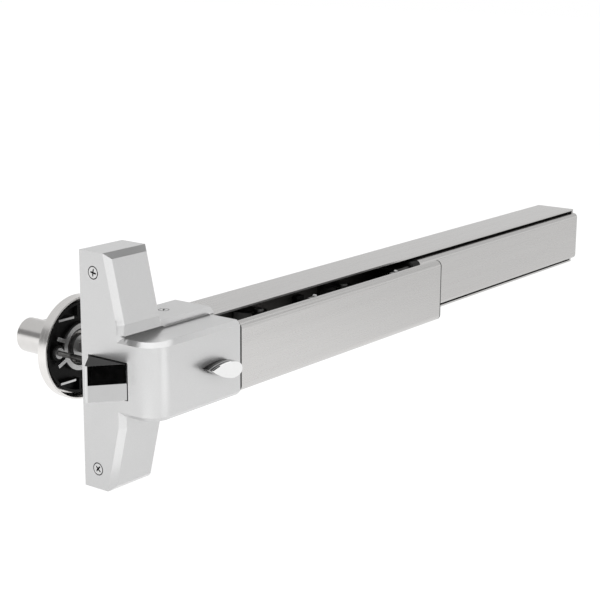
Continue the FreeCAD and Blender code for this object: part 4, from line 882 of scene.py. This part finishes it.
def soften(node: bpy.types.Object, width: float, steps: int) -> None:
    """Breaks sharp edges, as tumbling or pressing does.

    Args:
        node: the sub-part's object.
        width: width of the broken edge.
        steps: steps across it.
    """
    weld = node.modifiers.new("join", "WELD")
    weld.merge_threshold = WELD
    edge = node.modifiers.new("soft_edges", "BEVEL")
    edge.width = width
    edge.segments = steps
    edge.limit_method = "ANGLE"
    edge.angle_limit = math.radians(SOFT_ANGLE)
    edge.miter_outer = "MITER_ARC"
    edge.use_clamp_overlap = True
    node.modifiers.new("even_shading", "WEIGHTED_NORMAL").keep_sharp = True


def dress(finish: bpy.types.Material, *names: str, edge: float = 0.0, steps: int = 2) -> None:
    """Gives sub-parts of the frame their finish and softens their edges.

    Args:
        finish: their material.
        names: the sub-parts.
        edge: width of the broken edges, 0 where they stay sharp.
        steps: steps across a broken edge.
    """
    for name in names:
        node = frame["nodes"][name]
        node.data.materials.clear()
        node.data.materials.append(finish)
        if edge:
            soften(node, edge, steps)
        LOG.info("sub-part %s: %s", name, finish.name)


@dataclass
class Head:
    """The head: cover, its screws, the fixing plate, the latch and its springs."""

    finishes: Finishes
    sink: float = 0.02 * MM
    end_head: float = 4.7 * MM
    end_height: float = 70.0 * MM
    end_clearance: float = 0.05 * MM
    end_rim: float = 0.55 * MM
    end_spins: Pair = (-0.15, 0.85)
    side_head: float = 4.1 * MM
    side_length: float = 9.9 * MM
    side_rim: float = 0.5 * MM
    side_spins: Pair = (0.6, -0.6)
    coil: Coil = Coil(2.9 * MM, 0.5 * MM, 8)
    coil_heights: Pair = (6.4 * MM, -9.4 * MM)

    def end_screws(self) -> None:
        """The two cross-recessed screws in the cover's end face."""
        low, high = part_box("cover_end_screws")
        face = low[0] + self.sink
        middle = (low[1] + high[1]) / 2.0
        screw = CrossScrew(self.end_head, high[0] - low[0] - self.end_clearance)
        made = [screw.build("end_screw", (face, middle, sign * self.end_height), LEFT, spin)
                for sign, spin in zip((1, -1), self.end_spins)]
        steel = ScrewSteel("end_screw_steel", 0, -face, (-middle, self.end_height),
                           self.end_head - self.end_rim)
        settle(merged("cross_end_screws", made), steel.build(), "cover_end_screws")

    def side_screws(self) -> None:
        """The two cross-recessed screws in the top and bottom of the cover's low strip."""
        low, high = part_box("cover_side_screws")
        across, depth = ((low[index] + high[index]) / 2.0 for index in (0, 1))
        face = high[2] - self.sink
        screw = CrossScrew(self.side_head, self.side_length)
        made = [screw.build("side_screw", (across, depth, sign * face), (0, 0, sign), spin)
                for sign, spin in zip((1, -1), self.side_spins)]
        steel = ScrewSteel("side_screw_steel", 2, face, (across, -depth),
                           self.side_head - self.side_rim)
        settle(merged("cross_side_screws", made), steel.build(), "cover_side_screws")

    def springs(self) -> None:
        """The latch bolt's two springs."""
        low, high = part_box("latch_springs")
        middle = (low[1] + high[1]) / 2.0
        coils = merged("latch_coils", [
            self.coil.build("latch_coil", (low[0], middle, height), high[0] - low[0])
            for height in self.coil_heights])
        settle(coils, self.finishes.bright, "latch_springs")
        shorten(coils, "latch_slide", low, high)

    def build(self) -> None:
        """Makes the pieces and dresses the rest."""
        self.end_screws()
        self.side_screws()
        self.springs()
        dress(self.finishes.paint, "head_cover", edge=0.55 * MM)
        dress(self.finishes.bright, "head_fixing_plate")
        dress(self.finishes.plated, "latch_spring_stops", "latch_slide")
        dress(self.finishes.black, "latch_guides")
        dress(self.finishes.chrome, "latch_bolt", edge=0.25 * MM)


@dataclass
class Bar:
    """The rail, its cover and ends, and the push pad with its carriers."""

    finishes: Finishes
    dark_band_end: float = 0.4 * MM

    def build(self) -> None:
        """Dresses the sheet-metal parts."""
        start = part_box("push_pad")[0][0]
        # The pad is darker in a thin band at its left end.
        pad = replace(STAINLESS, name="pad_stainless", dark_band_end=start + self.dark_band_end).build()
        dress(self.finishes.satin, "filler_cover", "rail_end_plate", edge=0.12 * MM)
        dress(pad, "push_pad", edge=0.12 * MM)
        dress(self.finishes.channel, "base_rail", edge=0.35 * MM, steps=3)
        dress(self.finishes.plated, "filler_clips", "end_bracket", "pad_carrier_front",
              "pad_carrier_rear", "stop_bracket", "lug_pins")
        dress(self.finishes.bright, "pad_rivets")
        dress(self.finishes.black, "filler_plug", "pad_end_cap", edge=0.15 * MM)
        dress(self.finishes.rubber, "stop_buffers")


@dataclass
class Linkage:
    """The rockers, their brackets and pivots, the rod with its guides, and the return spring."""

    finishes: Finishes
    coil: Coil = Coil(5.5 * MM, 0.5 * MM, 9)

    def spring(self) -> None:
        """The rod's return spring."""
        low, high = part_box("return_spring")
        depth, height = ((low[index] + high[index]) / 2.0 for index in (1, 2))
        coil = self.coil.build("return_coil", (low[0], depth, height), high[0] - low[0])
        settle(coil, self.finishes.bright, "return_spring")
        shorten(coil, "rod_slide", low, high)

    def build(self) -> None:
        """Makes the spring and dresses the rest."""
        self.spring()
        dress(self.finishes.zinc, "rocker_front", "rocker_rear", edge=0.2 * MM)
        dress(self.finishes.plated, "rocker_bracket_front", "rocker_bracket_rear",
              "actuating_rod", "rod_collar")
        dress(self.finishes.bright, "rocker_pivot_front", "rocker_pivot_rear", "rod_pins")
        dress(self.finishes.black, "rod_guides")


@dataclass
class Thumbturn:
    """The grip in the cover's front and its holding cam."""

    finishes: Finishes
    bright_rim: float = 0.5 * MM

    def build(self) -> None:
        """Dresses the grip and the cam."""
        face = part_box("thumbturn")[0][1]
        # The grip's side behind its bright rim gets painted shade and painted reflection bands.
        chrome = Chrome("turn_chrome", face + self.bright_rim).build()
        dress(chrome, "thumbturn", edge=0.2 * MM)
        dress(self.finishes.black, "thumbturn_seat")
        dress(self.finishes.plated, "holding_cam")


@dataclass
class OutsideTrim:
    """The rose with its insert, posts and bolts, and the lever with spindle and key plug."""

    finishes: Finishes
    bolt: ThreadedBolt = ThreadedBolt()

    def bolts(self) -> None:
        """The two through bolts."""
        low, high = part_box("through_bolts")
        middle, height = ((low[index] + high[index]) / 2.0 for index in (0, 2))
        reach = (high[0] - low[0]) / 2.0 - self.bolt.head_radius
        made = [self.bolt.build("through_bolt", (middle + sign * reach, low[1], height),
                                high[1] - low[1]) for sign in (1, -1)]
        settle(merged("threaded_bolts", made), self.finishes.plated, "through_bolts")

    def build(self) -> None:
        """Makes the bolts and dresses the rest."""
        self.bolts()
        dress(self.finishes.nickel, "rose_shell", edge=0.15 * MM)
        dress(self.finishes.lever, "outside_lever")
        dress(self.finishes.black, "rose_insert")
        dress(self.finishes.bright, "rose_posts", "rose_ring_plate", "lever_core", "rib_strips",
              edge=0.12 * MM)
        dress(self.finishes.plated, "square_spindle", "retractor_cam", "lever_spring")
        dress(self.finishes.brass, "key_plug")


# Studio

def looked_at(tree: bpy.types.NodeTree) -> tuple[Field, Field]:
    """Masks for rays that carry what the camera sees.

    Args:
        tree: the node tree that gets the nodes.

    Returns:
        1 for rays from the camera, directly or by mirrors and glass, and 0 for the rest; and 1 for
        mirrored rays alone.
    """
    path = tree.nodes.new("ShaderNodeLightPath")
    seen, mirrored, through = (Field(tree, path.outputs[name]) for name in
                               ("Is Camera Ray", "Is Glossy Ray", "Is Transmission Ray"))
    return seen.maths("ADD", seen + mirrored, through, clamp=True), mirrored


def join(surface: Surface, share: Field, first: bpy.types.Node, second: bpy.types.Node) -> None:
    """Blends two shaders into a material's output.

    Args:
        surface: the material under construction.
        share: share of the second shader.
        first: the first shader.
        second: the second shader.
    """
    blend = surface.node("ShaderNodeMixShader", Fac=share)
    feed(surface.tree, blend.inputs[1], first.outputs[0])
    feed(surface.tree, blend.inputs[2], second.outputs[0])
    feed(surface.tree, surface.tree.nodes["Material Output"].inputs[0], blend.outputs[0])


def wall(near: Pair, far: Pair, heights: Pair) -> list[Triple]:
    """Corners of an upright rectangle over a line.

    Args:
        near: where the line starts, across and in depth.
        far: where it ends.
        heights: height of the first and the second level edge.

    Returns:
        The four corners, row by row.
    """
    return [(*place, height) for height in heights for place in (near, far)]


def level(across: Pair, depths: Pair, height: float) -> list[Triple]:
    """Corners of a level rectangle.

    Args:
        across: where it starts and ends along the bar.
        depths: where it starts and ends in depth.
        height: its height.

    Returns:
        The four corners, row by row.
    """
    return [(place, depth, height) for depth in depths for place in across]


@dataclass(frozen=True)
class Card:
    """A black or glowing card that only polished and satin metal mirrors.

    Attributes:
        name: the card's name.
        corners: its four corners, row by row.
        glow: how brightly it shines, 0 for a black card.
        reach: least and largest length of the mirrored rays that meet it, where it stands close to
            one piece and the others are to see past it.
    """

    name: str
    corners: Sequence[Triple]
    glow: float = 0.0
    reach: Optional[Pair] = None

    def build(self) -> None:
        """Makes the card and puts it on the stage."""
        made = as_object(self.name, np.array(self.corners).reshape(2, 2, 3), False)
        surface = Surface(self.name)
        surface.set(Base_Color=surface.shade(surface.noise(9.0), grey(0.004), grey(0.008)),
                    Roughness=0.9, Specular_IOR_Level=0.0, Emission_Color=grey(1.0),
                    Emission_Strength=self.glow)
        if self.reach is not None:
            path = surface.node("ShaderNodeLightPath")
            length = Field(surface.tree, path.outputs["Ray Length"])
            least, most = self.reach
            meets = length.maths("GREATER_THAN", length, least)
            meets = meets * length.maths("LESS_THAN", length, most)
            join(surface, meets, surface.node("ShaderNodeBsdfTransparent"), surface.shader)
        made.data.materials.append(surface.material)
        for ray in ("camera", "diffuse", "shadow", "transmission"):
            setattr(made, f"visible_{ray}", False)


@dataclass(frozen=True)
class Lamp:
    """A soft square lamp.

    Attributes:
        name: the lamp's name.
        place: where it stands.
        target: what it points at.
        size: its side.
        power: its power in watts.
        mirrored: whether metal mirrors it.
    """

    name: str
    place: Triple
    target: Triple
    size: float
    power: float
    mirrored: bool = False

    def build(self) -> None:
        """Makes the lamp."""
        data = bpy.data.lights.new(self.name, "AREA")
        data.shape = "SQUARE"
        data.size = self.size
        data.energy = self.power
        made = placed(self.name, data)
        aim = (Vector(self.target) - Vector(self.place)).to_track_quat("-Z", "Y")
        made.matrix_world = Matrix.Translation(self.place) @ aim.to_matrix().to_4x4()
        made.visible_glossy = self.mirrored


@dataclass
class Studio:
    """Camera, floor, world, mirrored cards and lamps."""

    eye: Triple = (-0.7266, -0.7224, 0.2914)
    yaw: float = 37.13
    pitch: float = 13.58
    roll: float = 0.373
    lens: float = 90.28
    sensor: float = 36.0
    floor_height: float = -0.0852
    floor_half: float = 6.0
    left_fade: Pair = (-0.05, -0.25)
    right_fade: Pair = (0.27, 0.62)
    front_fade: Pair = (-0.33, -0.50)
    sky_start: float = 0.06
    sky_slope: float = 1.4
    sky_limit: float = 0.32

    def camera(self) -> None:
        """The camera at the photograph's place."""
        yaw, pitch, roll = (math.radians(value) for value in (self.yaw, self.pitch, self.roll))
        ahead = Vector((math.cos(yaw) * math.cos(pitch), math.sin(yaw) * math.cos(pitch),
                        -math.sin(pitch)))
        side = Vector((math.sin(yaw), -math.cos(yaw), 0.0))
        upright = side.cross(ahead)
        right = side * math.cos(roll) + upright * math.sin(roll)
        up = upright * math.cos(roll) - side * math.sin(roll)
        data = bpy.data.cameras.new("camera")
        data.lens = self.lens
        data.sensor_width = self.sensor
        data.clip_start = 10.0 * MM
        made = placed("camera", data)
        turned = Matrix((right, up, -ahead)).transposed().to_4x4()
        made.matrix_world = Matrix.Translation(self.eye) @ turned
        bpy.context.scene.camera = made

    def floor(self) -> None:
        """A pale floor that shows white to the camera and keeps soft shadows.

        Metal mirrors it in other tones: lighter to the left of the head, darker to the right and
        far in front.
        """
        side = (-self.floor_half, self.floor_half)
        corners = np.array(level(side, side, self.floor_height)).reshape(2, 2, 3)
        made = as_object("floor", corners, False)
        surface = Surface("pale_floor")
        surface.set(Base_Color=surface.shade(surface.noise(3.0), grey(0.78), grey(0.80)),
                    Roughness=0.9, Specular_IOR_Level=0.1)
        seen, mirrored = looked_at(surface.tree)
        across, away = surface.place()[:2]
        tone = across.step(*self.left_fade) * 0.09 + 0.86
        tone = tone - across.step(*self.right_fade) * 0.17 - away.step(*self.front_fade) * 0.14
        tone = mirrored * tone + (1.0 - mirrored) * 0.90
        glow = surface.node("ShaderNodeEmission", Color=surface.shade(tone, grey(0.0), grey(1.0)),
                            Strength=1.25)
        join(surface, seen * 0.86, surface.shader, glow)
        made.data.materials.append(surface.material)

    def world(self) -> None:
        """White surroundings, which metal mirrors darker towards the ceiling."""
        world = bpy.data.worlds.new("studio")
        bpy.context.scene.world = world
        world.use_nodes = True
        tree = world.node_tree
        back = tree.nodes["Background"]
        feed(tree, back.inputs[0], (1.0, 1.0, 1.0))
        seen, mirrored = looked_at(tree)
        way = tree.nodes.new("ShaderNodeSeparateXYZ")
        feed(tree, way.inputs[0], tree.nodes.new("ShaderNodeTexCoord").outputs["Generated"])
        up = Field(tree, way.outputs[2])
        risen = (up - self.sky_start) * self.sky_slope
        dimmed = risen.maths("MINIMUM", risen.maths("MAXIMUM", risen, 0.0), self.sky_limit)
        feed(tree, back.inputs[1], seen * 0.55 + 0.45 - mirrored * dimmed)

    def close_cards(self) -> list[Card]:
        """The cards that stand close to the head, each for the faces beside it."""
        left, front, back = (-0.0444, -0.0280), (-0.0226, -0.0456), (-0.0464, -0.0255)
        cut, low, high = -0.0036, -0.0175, 0.0118
        depth, corner = -0.0386, (0.0275, 0.0400)
        strip = (0.0215, -0.0377), (0.0705, -0.0377)
        near, nose = (0.0033, 0.0047), (0.0028, 0.0062)
        return [
            Card("latch_card", wall(left, front, (high, cut)), 0.0, near),
            Card("latch_grey", wall(left, front, (cut, low)), 0.66, near),
            Card("nose_card", wall(left, back, (high, low)), 0.85, nose),
            Card("nose_card_rear", wall(back, (-0.0450, -0.0200), (high, low)), 0.85, nose),
            Card("latch_lid", [(-0.0418, -0.0255, 0.0117), (-0.0418, -0.0235, 0.0117),
                               (-0.0213, -0.0420, 0.0117), (-0.0213, -0.0070, 0.0117)], 0.07),
            Card("foot_line", wall((-0.0205, -0.03755), (0.0695, -0.03755), (0.02762, 0.0288)),
                 0.02, (0.0, 0.003)),
            Card("foot_shade", [(-0.0185, depth, 0.0278), (0.0225, depth, 0.0278),
                                (-0.0185, depth, 0.0362), (0.0065, depth, 0.0362)], 0.03,
                 (0.0003, 0.060)),
            Card("upper_shade", [(-0.0185, depth, 0.0362), (0.0065, depth, 0.0362),
                                 (-0.0185, depth, 0.0410), (-0.0040, depth, 0.0410)], 0.03,
                 (0.006, 0.060)),
            Card("corner_shade", wall((-0.0215, depth), (-0.0185, depth), corner), 0.14,
                 (0.0042, 0.060)),
            Card("side_shade", wall((-0.0320, depth), (-0.0215, depth), corner), 0.14,
                 (0.0075, 0.060)),
            Card("foot_light", wall((-0.0205, -0.0382), (0.0225, -0.0382), (0.0283, 0.0362)), 0.80,
                 (0.0, 0.0019)),
            Card("strip_shade", wall(*strip, (0.0277, 0.0292)), 0.02, (0.0, 0.012)),
            Card("strip_line", wall(*strip, (0.0292, 0.0322)), 0.02, (0.0, 0.0056)),
            Card("rounding_lid", level((-0.026, 0.006), (-0.075, -0.048), 0.034), 1.35,
                 (0.004, 0.015)),
        ]

    def far_cards(self) -> list[Card]:
        """The cards on the floor, over the bar and around it."""
        ground = self.floor_height + 1.0 * MM
        return [
            Card("foot_glow", level((-0.22, -0.035), (-0.17, -0.03), ground - 0.5 * MM), 1.38),
            Card("upright_card", [(0.172, -0.137, 0.187), (0.052, -0.137, 0.187),
                                  (0.142, -0.003, 0.187), (0.052, -0.003, 0.187)], 0.15),
            Card("chamfer_glow", [(0.85, -0.85, 0.85), (1.35, -0.45, 0.85), (0.75, -0.65, 1.35),
                                  (1.25, -0.25, 1.35)], 1.15),
            Card("corner_glow", level((-0.04, 0.14), (-0.25, -0.62), ground), 1.5),
            Card("rounding_glow", level((-0.24, -0.06), (-0.24, -0.42), ground), 1.20),
            Card("inner_glow", wall((0.075, -0.060), (0.334, -0.060), (-0.017, 0.020)), 0.11,
                 (0.024, 0.40)),
            Card("end_card", wall((-0.98, 0.48), (-0.48, 0.98), (0.10, 0.55)), 0.22),
            Card("front_card", [(0.10, -0.90, 0.75), (0.75, -0.90, 0.75), (0.10, -0.35, 1.05),
                                (0.75, -0.35, 1.05)]),
            Card("left_glow", wall((-1.10, -1.00), (-0.45, -1.35), (-0.05, 0.55)), 1.7),
        ]

    def lamps(self) -> list[Lamp]:
        """The lamps, of which metal mirrors the first alone."""
        return [
            Lamp("key", (-1.1, -0.5, 1.1), (0.1, 0.0, 0.0), 0.9, 7.0, True),
            Lamp("top", (0.3, 0.1, 1.3), (0.25, 0.0, 0.0), 1.2, 7.5),
            Lamp("fill", (0.7, -1.3, 0.5), (0.2, 0.0, 0.0), 0.9, 6.0),
        ]

    def build(self) -> None:
        """Sets the whole stage."""
        bpy.context.scene.view_settings.view_transform = "Standard"
        self.camera()
        self.floor()
        self.world()
        for piece in (*self.close_cards(), *self.far_cards(), *self.lamps()):
            piece.build()
        LOG.info("studio is set")


def main() -> None:
    """Builds the whole scene in order."""
    logging.basicConfig(level=logging.INFO, format="%(name)s: %(message)s")
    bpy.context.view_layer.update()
    finishes = Finishes()
    for assembly in (Head, Bar, Linkage, Thumbturn, OutsideTrim):
        assembly(finishes).build()
    Studio().build()


if __name__ == "__main__":
    main()
